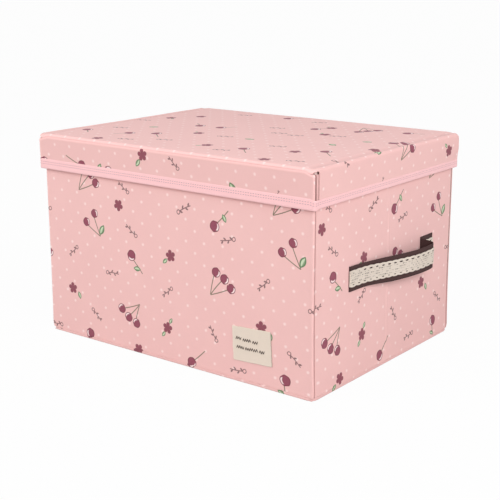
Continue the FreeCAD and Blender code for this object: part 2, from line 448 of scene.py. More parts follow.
@dataclass(frozen=True)
class DotRows:
    """Rows of dots on a cloth: one dot's place, and the steps to its two neighbours.

    A second set of rows lies half of both steps further on.
    """

    start: Point
    along: Point
    across: Point

    def counted(self, flat: np.ndarray) -> np.ndarray:
        """Flat coordinates counted in steps, so that a dot lies at each whole number."""
        to_steps = np.linalg.inv(np.array([self.along, self.across]).T)
        return (flat - np.array(self.start)) @ to_steps.T


@dataclass(frozen=True)
class SettledDotRows(DotRows):
    """Dots of the case's cloth, which lie a little off their even rows."""

    def counted(self, flat: np.ndarray) -> np.ndarray:
        """Flat coordinates counted in steps, after the drift of the dots is taken off."""
        around, up = flat[..., 0], flat[..., 1]
        half = FRONT_LENGTH / 2
        x = np.clip(around - half, -half, half)
        fade = np.exp(-np.maximum(around - FRONT_LENGTH, 0) / 30)
        rise = 1.0 + 2.6 * (x / half) ** 2 - left_edge_lift(around)
        rise += 2 * np.clip(1 - up / 110, 0, 1) * smooth_step((x - 150) / 30)
        high = 1.7 * np.clip((up - 115) / 80, 0, 1) * smooth_step((x + 60) / 40)
        front_side = high - 3 * np.clip(1 - up / 60, 0, 1)
        end_side = 1.6 * smooth_step((up - 40) / 40) * (around < REAR_START)
        side = np.where(around < FRONT_LENGTH, front_side, end_side)
        return super().counted(flat - np.stack([side, rise * fade], axis=-1))


@dataclass(frozen=True)
class EdgedDotRows(DotRows):
    """Dots of the lid's top, with a row of their own along the roll of its front edge."""

    edge: float = 147.2

    def counted(self, flat: np.ndarray) -> np.ndarray:
        """Flat coordinates counted in steps: other steps where a face lies on the roll."""
        row = DotRows(start=(-159.1, -149.8), along=(24.68, 0.0), across=(0.0, DOT_STEP))
        on_roll = flat[..., 1:].mean(axis=1, keepdims=True) < -self.edge
        return np.where(on_roll, row.counted(flat), super().counted(flat))


def left_edge_lift(around: np.ndarray) -> np.ndarray:
    """How much higher the case's cloth lies near its front left corner."""
    return 4 * smooth_step((33 - around) / 25) * (around > -30)


CASE_DOTS = SettledDotRows(start=(0.0, 179.0), along=(26.25, 0.75), across=(0.5, -25.0))
SKIRT_DOTS = DotRows(start=(-176.5, 238.0), along=(25.2, -0.15), across=(3.4, -26.0))
LID_DOTS = EdgedDotRows(start=(212.5, -123.1), along=(0.33, 25.95), across=(24.4, -3.35))

REPEAT_LENGTH = 288.75
REPEAT_RISE = 8.25
REPEAT_HEIGHT = 225.0
PRINT_TOP = 212.0


def down(across: float, drop: float) -> Point:
    """Point on the case's cloth from its left front corner and its drop below the lid."""
    return (across, PRINT_TOP - drop)


def one_repeat() -> Motifs:
    """The motifs of one repeat of the case's cloth."""
    motifs = Motifs()
    for meet, centres in (
        ((56, 25.6), [(65, -1), (75.5, 5), (83, 15)]),
        ((259, 119), [(265.4, 92.7), (277, 98.5), (285.8, 107.8)]),
    ):
        places = [down(*centre) for centre in centres]
        motifs.bunch(down(*meet), places, 5.9, (0.9, -0.5))
    low = [down(*centre) for centre in [(119.5, 162), (130.2, 170.8), (142.6, 176)]]
    motifs.bunch(down(151, 151), low, 5.9, (-0.6, 0.8))
    pair = [down(79, 52), down(65, 64)]
    motifs.bunch(down(90, 78), pair, 5.5, (0.95, 0.3))
    motifs.leaf(down(89, 76), down(96, 63.7))
    motifs.cherry(down(264.2, 41), down(285.5, 20.5), (0.98, -0.2))
    motifs.leaf(down(277.3, 25.5), down(282.1, 34))
    motifs.cherry(down(138, 94), down(157, 113), (-0.1, -1.0), -1.0)
    motifs.leaf(down(143, 108), down(154, 108))
    motifs.cherry(down(228, 206), down(250, 187), (0.6, -0.8))
    motifs.cherry(down(63.8, 204.9), down(65, 224), (-0.98, -0.2), -1.0)
    motifs.leaf(down(67, 221.2), down(58.4, 217.2))
    motifs.flower(down(121.29, 36))
    motifs.flower(down(201, 84), down(186, 97))
    motifs.flower(down(38.23, 151.1))
    motifs.leaf(down(47.8, 154), down(51, 163))
    motifs.flower(down(194, 171), down(203, 155), down(183, 186))
    motifs.flower(down(147, 207.6))
    motifs.leaf(down(139, 211.7), down(132, 219.5))
    for start, end in (
        ((139, 20), (123, 8)), ((212, 33), (232, 22)), ((150, 70), (133, 57)),
        ((295, 50), (274, 55)), ((50, 96), (34, 109)), ((97, 121), (118, 120)),
        ((203, 121), (187, 133)), ((70, 171), (85, 185)), ((18, 206), (-4, 208)),
        ((268, 173), (258, 155)),
    ):
        motifs.sprig(down(*start), down(*end))
    motifs.cherries = Motifs(cherries=motifs.cherries).moved(2.0, 0.7).cherries
    return motifs


def case_print() -> Motifs:
    """The motifs all round the case: the repeat steps along it and down at each step."""
    once = one_repeat()
    motifs = Motifs()
    for across in range(-1, 5):
        for up in (0, 1):
            rise = up * REPEAT_HEIGHT + across * REPEAT_RISE
            motifs.join(once.moved(across * REPEAT_LENGTH, rise))
    return motifs


def front_skirt_print() -> Motifs:
    """The motifs of the lid's front skirt, by their place along X and their height."""
    motifs = Motifs()
    motifs.cherry((-195, 215.0), (-196, 190), (0.9, 0.4))
    motifs.cherry((-131, 217.0), (-158, 227), (0.5, -0.9), -1.0)
    motifs.leaf((-105, 210), (-99.5, 223))
    motifs.cherry((-87.5, 215), (-84, 190), (0.4, 0.9))
    motifs.flower((-33, 240), (-46, 222))
    motifs.sprig((21.6, 228.8), (7, 242.5))
    motifs.leaf((101, 211), (92.5, 223.5))
    motifs.sprig((150, 212), (158, 222))
    return motifs


def lid_print() -> Motifs:
    """The motifs of the cloth over the lid's top and ends.

    The first coordinate runs along X over the top and on down the right end, the second
    along Y.
    """
    motifs = Motifs()
    motifs.bunch((217, 15.5), [(181, 34), (190.5, 44.5), (206, 41)], 6.2, (-0.2, 0.95))
    motifs.flower((187.5, -17.5), (209, -37))
    motifs.sprig((186, -100), (209, -93.5))
    motifs.flower((221, 126), (209, 113.5))
    motifs.sprig((243, -30), (231, -20))
    motifs.bunch((91, 115), [(117, 106), (110, 95), (104, 83)], 6.2, (0.9, -0.3))
    for centre, end in (
        ((-85, -71), (-65, -90)), ((-175, -98), (-160, -112)), ((69, -97), (87, -117)),
        ((152, -59), (172, -80)), ((-34, 129), (-20, 145)), ((-53, 12), (-40, 28)),
        ((-114, -87), (-125, -105)), ((157, 109), (176, 116)), ((49, 71), (62, 96)),
        ((-84, 9), (-100, 22)),
    ):
        motifs.cherry(centre, end, (0.8, 0.6))
    for places in (
        ((-139, 75),), ((-163, 42), (-150, 32)), ((20, -102), (9, -114)), ((125, -79),),
        ((127, -137),), ((83, 41), (70, 50)), ((-116, -139),), ((-46, -39), (-58, -30)),
        ((60, 90), (48, 98)),
    ):
        motifs.flower(*places)
    for base, tip in (
        ((44, 71), (55, 72)), ((126, -14), (138, -19)), ((26, -41), (38, -38)),
        ((147, 22), (158, 26)), ((-130, -36), (-119, -30)),
    ):
        motifs.leaf(base, tip)
    for x, y in (
        (-155, -62), (-3, -42), (89, -62), (159, -127), (5, 51), (32, 18), (58, 15),
        (103, 38), (-45, -102), (-85, -125), (54, -119), (20, 121), (-100, 120), (-178, 5),
    ):
        motifs.sprig((x - 10, y - 2), (x + 10, y + 3))
    motifs.bunch((-216, -30), [(-206, -5), (-219, -2), (-231, -8)], 6.2, (-0.3, 0.9))
    motifs.flower((-224, 60), (-212, 70))
    motifs.flower((-222, -112), (-210, -120))
    motifs.sprig((-212, 108), (-230, 118))
    motifs.sprig((-215, -70), (-232, -60))
    return motifs


# Shader arithmetic


class Num:
    """A number that flows between shader nodes. Arithmetic on it adds Math nodes."""

    def __init__(self, tree: bpy.types.NodeTree, source: bpy.types.NodeSocket) -> None:
        """Take the number from a node's output socket."""
        self.tree = tree
        self.source = source

    def then(self, operation: str, *others: "Num | float", clamp: bool = False) -> "Num":
        """Math node whose first input is this number."""
        node = self.tree.nodes.new("ShaderNodeMath")
        node.operation = operation
        node.use_clamp = clamp
        for socket, value in zip(node.inputs, (self, *others)):
            if isinstance(value, Num):
                self.tree.links.new(value.source, socket)
            else:
                socket.default_value = value
        return Num(self.tree, node.outputs[0])

    def __add__(self, other: "Num | float") -> "Num":
        """Sum."""
        return self.then("ADD", other)

    def __sub__(self, other: "Num | float") -> "Num":
        """Difference."""
        return self.then("SUBTRACT", other)

    def __mul__(self, other: "Num | float") -> "Num":
        """Product."""
        return self.then("MULTIPLY", other)

    def __truediv__(self, other: "Num | float") -> "Num":
        """Quotient."""
        return self.then("DIVIDE", other)

    def taken_from(self, value: float) -> "Num":
        """The value less this number."""
        return self.then("MULTIPLY_ADD", -1.0, value)

    def wave(self, turns: float) -> "Num":
        """Sine of this number, with so many turns to each unit."""
        return (self * (2 * math.pi * turns)).then("SINE")

    def size(self) -> "Num":
        """This number without its sign."""
        return self.then("ABSOLUTE")

    def below(self, limit: "Num | float", soft: float) -> "Num":
        """Mask that is 1 where this number is below a limit, with a soft edge."""
        return ((self - limit) / -soft).then("ADD", 0.5, clamp=True)

    def either(self, other: "Num") -> "Num":
        """The larger of two masks."""
        return self.then("MAXIMUM", other)


def reach(first: Num, second: Num) -> Num:
    """Length of a vector of two parts."""
    return (first * first + second * second).then("SQRT")


class Group:
    """A shader node group under construction, with named inputs and outputs."""

    def __init__(self, name: str, **inputs: str) -> None:
        """Make the group and its inputs, each given as its name and its kind of socket."""
        self.tree = bpy.data.node_groups.new(name, "ShaderNodeTree")
        for label, kind in inputs.items():
            self.add_socket(label, "INPUT", kind)
        self.inside = self.tree.nodes.new("NodeGroupInput")

    def add_socket(self, label: str, direction: str, kind: str) -> None:
        """Add a socket to the group. Underlines in its label stand for spaces."""
        self.tree.interface.new_socket(
            name=label.replace("_", " "), in_out=direction, socket_type="NodeSocket" + kind
        )

    def number(self, label: str) -> Num:
        """One of the group's inputs, as a number."""
        return Num(self.tree, self.inside.outputs[label])

    def parts(self, label: str = "Place") -> tuple[Num, Num, Num]:
        """The three parts of one of the group's vector inputs."""
        split = self.tree.nodes.new("ShaderNodeSeparateXYZ")
        self.tree.links.new(self.inside.outputs[label], split.inputs[0])
        return tuple(Num(self.tree, socket) for socket in split.outputs)

    def noise(self, scale: float, stretch: tuple[float, float, float]) -> Num:
        """Noise over the group's Place, stretched along its axes."""
        place = self.tree.nodes.new("ShaderNodeMapping")
        place.inputs["Scale"].default_value = stretch
        self.tree.links.new(self.inside.outputs["Place"], place.inputs["Vector"])
        cloud = self.tree.nodes.new("ShaderNodeTexNoise")
        cloud.inputs["Scale"].default_value = scale
        cloud.inputs["Detail"].default_value = 2.0
        self.tree.links.new(place.outputs["Vector"], cloud.inputs["Vector"])
        return Num(self.tree, cloud.outputs["Fac"])

    def give(self, **outputs: Num) -> bpy.types.NodeTree:
        """Make the group's outputs, send a number to each and return the finished tree."""
        for label in outputs:
            self.add_socket(label, "OUTPUT", "Float")
        outside = self.tree.nodes.new("NodeGroupOutput")
        for label, value in outputs.items():
            self.tree.links.new(value.source, outside.inputs[label])
        return self.tree


@cache
def weave_group() -> bpy.types.NodeTree:
    """Plain weave over flat millimetres: crossing yarns, each a little uneven."""
    group = Group("plain_weave", Place="Vector", Yarns_per_mm="Float")
    along, across, _ = group.parts()
    pitch = group.number("Yarns per mm")
    warp = (along * pitch).wave(0.5)
    weft = (across * pitch).wave(0.5)
    yarn = warp.size() * 0.5 + weft.size() * 0.5
    thick = group.noise(1.6, (1.0, 0.08, 1.0)) + group.noise(1.6, (0.08, 1.0, 1.0))
    return group.give(
        Height=yarn * 0.6 + warp * weft * 0.25 + thick * 0.3,
        Fleck=thick * 0.5,
        Cloud=group.noise(0.016, (1.0, 1.0, 1.0)),
    )


@cache
def dots_group() -> bpy.types.NodeTree:
    """Soft round dots at each whole number of the counted place, and halfway between."""
    group = Group("soft_dots", Counted="Vector", Radius="Float")
    first, second, _ = group.parts("Counted")
    gaps = []
    for shift in (0.5, 0.0):
        sides = [(part + (shift + 50.0)).then("FRACT") - 0.5 for part in (first, second)]
        gaps.append(reach(*sides) * DOT_STEP)
    near = gaps[0].then("MINIMUM", gaps[1])
    return group.give(Mask=near.below(group.number("Radius"), 1.7))


@cache
def cherry_group() -> bpy.types.NodeTree:
    """Cherry: a round body, a darker rim all round it and a pale crescent inside the rim."""
    group = Group("printed_cherry", Place="Vector")
    along, across, number = group.parts()
    wobble = (along * 2.1 + number).wave(0.5) * 0.04
    aside = across * 1.04 + wobble
    far = reach(along, aside)
    unlit = reach(along + 0.42, aside).below(0.98, 0.08)
    crescent = unlit.taken_from(1.0) * aside.size().below(0.6, 0.15)
    return group.give(
        Body=far.below(1.0, 0.07),
        Shine=crescent * far.below(0.88, 0.06),
        Outline=(far - 0.93).size().below(0.06, 0.06),
    )


@cache
def stem_group() -> bpy.types.NodeTree:
    """Stem: a thin bowed line whose third coordinate is its length."""
    group = Group("printed_stem", Place="Vector")
    along, across, length = group.parts()
    curve = along * along.taken_from(1.0) * (4 * STEM_BOW)
    line = ((across - curve).size() * length).below(0.55, 0.4)
    ends = (along - 0.5).size().below(0.49, 0.02)
    return group.give(Mask=line * ends)


@cache
def leaf_group() -> bpy.types.NodeTree:
    """Leaf: a pointed oval with a dark rim, one half darker than the other."""
    group = Group("printed_leaf", Place="Vector")
    along, across, _ = group.parts()
    half = (along * along.taken_from(1.0)).then("MAXIMUM", 0.0) * 1.02
    edge = across.size() - half
    within = edge.below(0.0, 0.05)
    ends = (along - 0.5).size().below(0.5, 0.03)
    rim = (edge + 0.045).size().below(0.06, 0.05)
    dark_half = across.below(-0.05, 0.08) * within * 0.75
    return group.give(Fill=within * ends, Rim=rim.either(dark_half) * ends)


@cache
def flower_group() -> bpy.types.NodeTree:
    """Flower: five round petals about a core, folded from one petal by its angle."""
    group = Group("printed_flower", Place="Vector")
    along, across, _ = group.parts()
    far = reach(along, across)
    sector = math.tau / PETALS
    turned = (across.then("ARCTAN2", along) / sector + 10.5).then("FRACT") - 0.5
    folded = turned * sector
    lobe = reach(far * folded.then("COSINE") - 0.62, far * folded.then("SINE"))
    return group.give(Mask=lobe.below(0.37, 0.06).either(far.below(0.45, 0.06)))


@cache
def sprig_group() -> bpy.types.NodeTree:
    """Sprig: a swaying twig with a round bud at its start and oval leaves on both sides."""
    group = Group("printed_sprig", Place="Vector")
    along, across, _ = group.parts()
    aside = across - along * along.taken_from(1.0) * 0.14
    twig = aside.size().below(0.026, 0.015)
    side = (along * 2.5).wave(1.0).then("SIGN")
    local = (along * 5.0).then("FRACT") * 0.2 - 0.1
    out = aside * side - 0.088
    leaf_along = (local + out) * 0.72
    leaf_across = (local - out) * 0.72
    leaf = reach(leaf_along * 0.5, leaf_across).below(0.047, 0.015)
    past_bud = along.below(0.22, 0.01).taken_from(1.0)
    bud = (reach(along - 0.12, aside) - 0.1).size().below(0.024, 0.015)
    within = (along - 0.5).size().below(0.5, 0.01)
    return group.give(Mask=(twig.either(leaf) * past_bud).either(bud) * within)


@cache
def grain_group() -> bpy.types.NodeTree:
    """Grain of board and thread: fine fibres and slow clouds over object millimetres."""
    group = Group("fibre_grain", Place="Vector")
    return group.give(
        Fibre=group.noise(2.2, (1.0, 1.0, 0.4)),
        Cloud=group.noise(0.05, (1.0, 1.0, 1.0)),
    )


@cache
def ribs_group() -> bpy.types.NodeTree:
    """Ribs of a corded ribbon across its length, with a thicker edge on both sides."""
    group = Group("corded_ribs", Place="Vector", Ribs_per_mm="Float", Half_width="Float")
    along, across, _ = group.parts()
    ribs = (along * group.number("Ribs per mm")).wave(1.0) * 0.5
    edge = across.size() - group.number("Half width")
    return group.give(Height=ribs + 0.5, Edge=(edge + 1.1).size().below(0.5, 0.6))


@dataclass(frozen=True)
class Colour:
    """Colour written as the eye sees it, from 0 to 255, and turned to linear light."""

    red: float
    green: float
    blue: float

    def linear(self) -> tuple[float, float, float, float]:
        """Linear value of the colour, with full cover."""
        parts = np.array([self.red, self.green, self.blue]) / 255
        light = np.where(parts <= 0.04045, parts / 12.92, ((parts + 0.055) / 1.055) ** 2.4)
        return (*light.tolist(), 1.0)


class Painter:
    """Builds one material: its shader, and the nodes that feed it."""

    def __init__(self, name: str) -> None:
        """Make the material with its shader."""
        self.material = bpy.data.materials.new(name)
        self.material.use_nodes = True
        self.tree = self.material.node_tree
        self.shader = self.tree.nodes["Principled BSDF"]

    def attribute(self, name: str, output: str = "Vector") -> bpy.types.NodeSocket:
        """Vector, or another output, of a mesh attribute."""
        node = self.tree.nodes.new("ShaderNodeAttribute")
        node.attribute_name = name
        return node.outputs[output]

    def amount(self, name: str) -> Num:
        """Number of a mesh attribute."""
        return Num(self.tree, self.attribute(name, "Fac"))

    def object_millimetres(self) -> bpy.types.NodeSocket:
        """Object coordinates in millimetres."""
        place = self.tree.nodes.new("ShaderNodeTexCoord")
        scale = self.tree.nodes.new("ShaderNodeMapping")
        scale.inputs["Scale"].default_value = (1 / METRES,) * 3
        self.tree.links.new(place.outputs["Object"], scale.inputs["Vector"])
        return scale.outputs["Vector"]

    def use(
        self, group: Callable[[], bpy.types.NodeTree], place: bpy.types.NodeSocket, **values: float
    ) -> dict[str, Num]:
        """Place a shared group, feed its vector and give its other inputs their values.

        Returns:
            The group's outputs by name.
        """
        node = self.tree.nodes.new("ShaderNodeGroup")
        node.node_tree = group()
        self.tree.links.new(place, node.inputs[0])
        for label, value in values.items():
            node.inputs[label.replace("_", " ")].default_value = value
        return {socket.name: Num(self.tree, socket) for socket in node.outputs}

    def layer(
        self, base: bpy.types.NodeSocket | Colour, top: Colour, mask: Num
    ) -> bpy.types.NodeSocket:
        """Lay a colour over another where the mask is 1.

        Args:
            base: the colour below, or the socket that gives it.
            top: the colour laid over it.
            mask: how much of the upper colour shows.

        Returns:
            The socket of the mixed colour.
        """
        mix = self.tree.nodes.new("ShaderNodeMix")
        mix.data_type = "RGBA"
        self.tree.links.new(mask.source, mix.inputs["Factor"])
        if isinstance(base, Colour):
            mix.inputs[6].default_value = base.linear()
        else:
            self.tree.links.new(base, mix.inputs[6])
        mix.inputs[7].default_value = top.linear()
        return mix.outputs[2]

    def shaded(self, base: bpy.types.NodeSocket, factor: Num) -> bpy.types.NodeSocket:
        """Make a colour lighter or darker by a factor."""
        scale = self.tree.nodes.new("ShaderNodeVectorMath")
        scale.operation = "SCALE"
        self.tree.links.new(base, scale.inputs[0])
        self.tree.links.new(factor.source, scale.inputs["Scale"])
        return scale.outputs["Vector"]

    def finish(
        self,
        colour: bpy.types.NodeSocket,
        height: Num,
        depth: float,
        roughness: Num,
        sheen: float,
    ) -> bpy.types.Material:
        """Connect colour, bump and roughness, and set the sheen of cloth.

        Args:
            colour: what feeds the base colour.
            height: relief in millimetres once it is multiplied by depth.
            depth: height of the relief.
            roughness: what feeds the roughness.
            sheen: weight of the soft sheen of fibres.
        """
        bump = self.tree.nodes.new("ShaderNodeBump")
        bump.inputs["Strength"].default_value = 0.8
        bump.inputs["Distance"].default_value = depth * METRES
        self.tree.links.new(height.source, bump.inputs["Height"])
        self.tree.links.new(bump.outputs["Normal"], self.shader.inputs["Normal"])
        self.tree.links.new(colour, self.shader.inputs["Base Color"])
        self.tree.links.new(roughness.source, self.shader.inputs["Roughness"])
        self.shader.inputs["Sheen Weight"].default_value = sheen
        self.shader.inputs["Sheen Roughness"].default_value = 0.6
        self.shader.inputs["Specular IOR Level"].default_value = 0.25
        return self.material


@dataclass(frozen=True)
class WovenFinish:
    """A plain woven cloth or ribbon: its colour, its yarns and how strongly they show."""

    name: str
    colour: Colour
    shade: Colour
    yarns: float
    depth: float
    sheen: float
    rough: float = 0.82

    def paint(self) -> bpy.types.Material:
        """Make the material."""
        painter = Painter(self.name)
        weave = painter.use(weave_group, painter.attribute("cloth"), Yarns_per_mm=self.yarns)
        base = painter.layer(self.shade, self.colour, weave["Cloud"] * 0.7 + 0.3)
        # This lightening is wear and painted highlight; where the amount is negative it is painted
        # shade.
        wear_and_painted_light = painter.amount("wear_and_painted_light")
        colour = painter.shaded(base, weave["Fleck"] * 0.16 + 0.92 + wear_and_painted_light * 0.07)
        rough = weave["Cloud"] * 0.1 + (self.rough - 0.05)
        return painter.finish(colour, weave["Height"], self.depth, rough, self.sheen)


@dataclass(frozen=True)
class PrintedFinish:
    """The cloth with its print of cherries, flowers and sprigs over soft dots, and painted shade
    and light.
    """

    name: str = "cherry_print_cloth"
    ground: Colour = Colour(238, 192, 188)
    ground_shade: Colour = Colour(234, 186, 183)
    dot: Colour = Colour(250, 221, 218)
    cherry: Colour = Colour(140, 64, 84)
    cherry_edge: Colour = Colour(105, 38, 54)
    shine: Colour = Colour(248, 224, 222)
    stem: Colour = Colour(104, 104, 78)
    leaf: Colour = Colour(192, 216, 180)
    leaf_rim: Colour = Colour(62, 108, 60)
    flower: Colour = Colour(132, 58, 76)
    sprig: Colour = Colour(104, 74, 76)
    # The fold colour is mixed in as painted shade: in grooves, slits, the lid's trough and under
    # the welt.
    fold: Colour = Colour(108, 38, 38)

    def paint(self) -> bpy.types.Material:
        """Make the material: each motif is laid over the ground in turn."""
        painter = Painter(self.name)
        weave = painter.use(weave_group, painter.attribute("cloth"), Yarns_per_mm=1.5)
        colour = painter.layer(self.ground_shade, self.ground, weave["Cloud"])
        dots = painter.use(dots_group, painter.attribute("dot_count"), Radius=1.6)
        colour = painter.layer(colour, self.dot, dots["Mask"] * painter.amount("printed") * 0.8)
        motifs = (
            ("sprig", sprig_group, (("Mask", self.sprig, 0.85),)),
            ("stem_near", stem_group, (("Mask", self.stem, 0.9),)),
            ("stem_next", stem_group, (("Mask", self.stem, 0.9),)),
            ("leaf", leaf_group, (("Fill", self.leaf, 0.85), ("Rim", self.leaf_rim, 0.9))),
            ("flower", flower_group, (("Mask", self.flower, 0.95),)),
            ("cherry", cherry_group, (("Body", self.cherry, 0.97), ("Shine", self.shine, 0.95),
                                      ("Outline", self.cherry_edge, 0.8))),
        )
        masks = {}
        for attribute, group, inks in motifs:
            masks[attribute] = painter.use(group, painter.attribute(attribute))
            for output, ink, cover in inks:
                colour = painter.layer(colour, ink, masks[attribute][output] * cover)
        # Painted shade: the fold colour is mixed in as the darkening factor falls below 1.
        colour = painter.layer(colour, self.fold, painter.amount("tone").taken_from(1.0))
        # This lightening is wear and painted highlight.
        wear_and_painted_light = painter.amount("wear_and_painted_light")
        colour = painter.shaded(colour, weave["Fleck"] * 0.1 + 0.95 + wear_and_painted_light * 0.11)
        inked = masks["flower"]["Mask"].either(masks["cherry"]["Body"]) * 0.08
        rough = weave["Cloud"] * 0.08 + 0.8 - inked
        return painter.finish(colour, weave["Height"], 0.09, rough, 0.12)


@dataclass(frozen=True)
class CordedFinish:
    """A corded ribbon: ribs across its length and a firm edge on both sides."""

    name: str
    colour: Colour
    rib_shade: Colour
    ribs: float
    half_width: float

    def paint(self) -> bpy.types.Material:
        """Make the material."""
        painter = Painter(self.name)
        place = painter.attribute("cloth")
        ribs = painter.use(ribs_group, place, Ribs_per_mm=self.ribs, Half_width=self.half_width)
        weave = painter.use(weave_group, place, Yarns_per_mm=2.4)
        # Painted shade in the hollows between the ribs, and a painted highlight along the raised
        # edges.
        base = painter.layer(self.rib_shade, self.colour, ribs["Height"] * 0.8 + 0.1)
        colour = painter.shaded(base, weave["Fleck"] * 0.3 + 0.85 + ribs["Edge"] * 0.12)
        height = ribs["Height"] + ribs["Edge"] * 0.8 + weave["Fleck"] * 0.5
        return painter.finish(colour, height, 0.16, weave["Cloud"] * 0.1 + 0.62, 0.03)


@dataclass(frozen=True)
class FibreFinish:
    """Thread or board: fibres and clouds over the object's own millimetres."""

    name: str
    colour: Colour
    shade: Colour
    depth: float
    sheen: float = 0.0

    def paint(self) -> bpy.types.Material:
        """Make the material."""
        painter = Painter(self.name)
        grain = painter.use(grain_group, painter.object_millimetres())
        base = painter.layer(self.shade, self.colour, grain["Cloud"])
        colour = painter.shaded(base, grain["Fibre"] * 0.3 + 0.85)
        rough = grain["Fibre"] * 0.15 + 0.75
        return painter.finish(colour, grain["Fibre"], self.depth, rough, self.sheen)


class Finish(Enum):
    """Finishes of the box, each with the record's material slot that it belongs to."""

    PRINTED = (PrintedFinish(), "printed_cloth")
    LINING = (
        WovenFinish("plain_lining", Colour(240, 214, 208), Colour(232, 202, 196), 1.2, 0.1, 0.2),
        "lining_cloth",
    )
    BASE = (
        WovenFinish(
            "base_cloth_weave", Colour(226, 186, 182), Colour(214, 172, 170), 1.2, 0.1, 0.2
        ),
        "lining_cloth",
    )
    PALE_RIBBON = (
        WovenFinish(
            "pale_ribbon", Colour(247, 198, 199), Colour(244, 190, 192), 2.2, 0.05, 0.3, 0.7
        ),
        "pink_ribbon",
    )
    BROWN_RIBBON = (
        CordedFinish("brown_corded_ribbon", Colour(82, 52, 50), Colour(44, 25, 25), 1.0, 13.5),
        "brown_ribbon",
    )
    LACE = (
        WovenFinish("cotton_lace", Colour(233, 220, 207), Colour(204, 189, 174), 2.6, 0.12, 0.2),
        "lace",
    )
    LABEL = (
        WovenFinish("linen_label", Colour(229, 215, 200), Colour(220, 204, 187), 1.7, 0.14, 0.15),
        "label_cloth",
    )
    BOARD = (
        FibreFinish("grey_board", Colour(150, 142, 132), Colour(132, 124, 114), 0.08),
        "greyboard",
    )
    PALE_THREAD = (
        FibreFinish("grey_pink_thread", Colour(190, 158, 164), Colour(176, 142, 150), 0.05, 0.2),
        "pink_ribbon",
    )
    DARK_THREAD = (
        FibreFinish("brown_thread", Colour(62, 40, 34), Colour(46, 28, 24), 0.05, 0.1),
        "label_cloth",
    )


@cache
def material_of(finish: Finish) -> bpy.types.Material:
    """Material of a finish, made once."""
    return finish.value[0].paint()


def dress(piece: bpy.types.Object, finish: Finish) -> None:
    """Give a piece its material."""
    piece.data.materials.clear()
    piece.data.materials.append(material_of(finish))


# Making pieces


@dataclass
class Cloth:
    """How a sheet of cloth is made up: its thickness, finish, print, tone and wear, and its painted
    shade and light.

    outward says which way its outer face looks, or None where its grid already faces right.
    """

    thickness: float
    finish: Finish
    motifs: Motifs | None = None
    dots: DotRows = CASE_DOTS
    # Darkening factor, 1 for none: lower values mix in the print's fold colour, mostly as painted
    # shade.
    tone: float | np.ndarray = 1.0
    # Lightening factor: wear and painted highlight, and painted shade where it is negative.
    wear_and_painted_light: np.ndarray | None = None
    outward: bool | None = True


def write_attribute(
    mesh: bpy.types.Mesh, name: str, kind: str, domain: str, values: np.ndarray
) -> None:
    """Store numbers or vectors on a mesh.

    Args:
        mesh: the mesh.
        name: name of the attribute.
        kind: FLOAT or FLOAT_VECTOR.
        domain: what it belongs to, such as CORNER or FACE.
        values: one number or vector for each.
    """
    layer = mesh.attributes.new(name, kind, domain)
    key = "value" if kind == "FLOAT" else "vector"
    layer.data.foreach_set(key, values.astype(np.float32).ravel())


def add_piece(name: str, mesh: bpy.types.Mesh) -> bpy.types.Object:
    """Put a mesh into the scene as a piece at the origin."""
    piece = bpy.data.objects.new(name, mesh)
    bpy.context.scene.collection.objects.link(piece)
    log.info("%s: %d faces", name, len(mesh.polygons))
    return piece


def sheet_piece(name: str, surface: Surface, cloth: Cloth) -> bpy.types.Object:
    """Closed sheet of cloth: the surface, the same a thickness below it, and its edges.

    Args:
        name: name of the piece.
        surface: the upper face, with its flat coordinates.
        cloth: thickness, finish and print of the sheet, and the way it faces.

    Returns:
        The piece, dressed in its finish.
    """
    laid = surface if cloth.outward is None else surface.faced(cloth.outward)
    rows, columns = laid.points.shape[:2]
    below = laid.points - laid.normals() * cloth.thickness
    vertices = np.concatenate([laid.points.reshape(-1, 3), below.reshape(-1, 3)])
    width = laid.flat.shape[1]
    around = np.arange(width)[None]
    ids = np.arange(rows)[:, None] * columns + around % columns
    faces, outer_count = closed_faces(ids, ids + rows * columns, laid.ring)
    mesh = mesh_from(name, vertices, faces)
    flat_ids = np.arange(rows)[:, None] * width + around
    flat_faces, _ = closed_faces(flat_ids, flat_ids, laid.ring)
    corners = laid.flat.reshape(-1, 2)[flat_faces]
    write_attribute(mesh, "cloth", "FLOAT_VECTOR", "CORNER", with_third(corners))
    if cloth.motifs is not None:
        write_print(mesh, corners, outer_count, cloth)
    for attribute, amount in (("tone", cloth.tone), ("wear_and_painted_light", cloth.wear_and_painted_light)):
        if amount is not None:
            spread = np.broadcast_to(amount, surface.points.shape[:2])
            spread = spread if laid is surface else spread[:, ::-1]
            write_attribute(mesh, attribute, "FLOAT", "POINT", np.tile(spread.ravel(), 2))
    piece = add_piece(name, mesh)
    dress(piece, cloth.finish)
    return piece


def stand_in(piece: bpy.types.Object, body: str, *nodes: str) -> None:
    """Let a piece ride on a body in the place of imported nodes."""
    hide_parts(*nodes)
    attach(piece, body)


def bend_at_end(piece: bpy.types.Object, end: str, reach: float, *nodes: str) -> None:
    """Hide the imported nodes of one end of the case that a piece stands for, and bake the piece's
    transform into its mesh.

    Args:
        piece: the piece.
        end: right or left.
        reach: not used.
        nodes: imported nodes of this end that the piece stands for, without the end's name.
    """
    if nodes:
        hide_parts(*(f"{end}_end_{node}" for node in nodes))
    x = SIZES.half_length * METRES * (1 if end == "right" else -1)
    -reach * METRES
    reach * METRES
    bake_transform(piece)


def with_third(flat: np.ndarray) -> np.ndarray:
    """Flat coordinates with a third one of 0."""
    return np.concatenate([flat, np.zeros((*flat.shape[:-1], 1))], axis=-1)


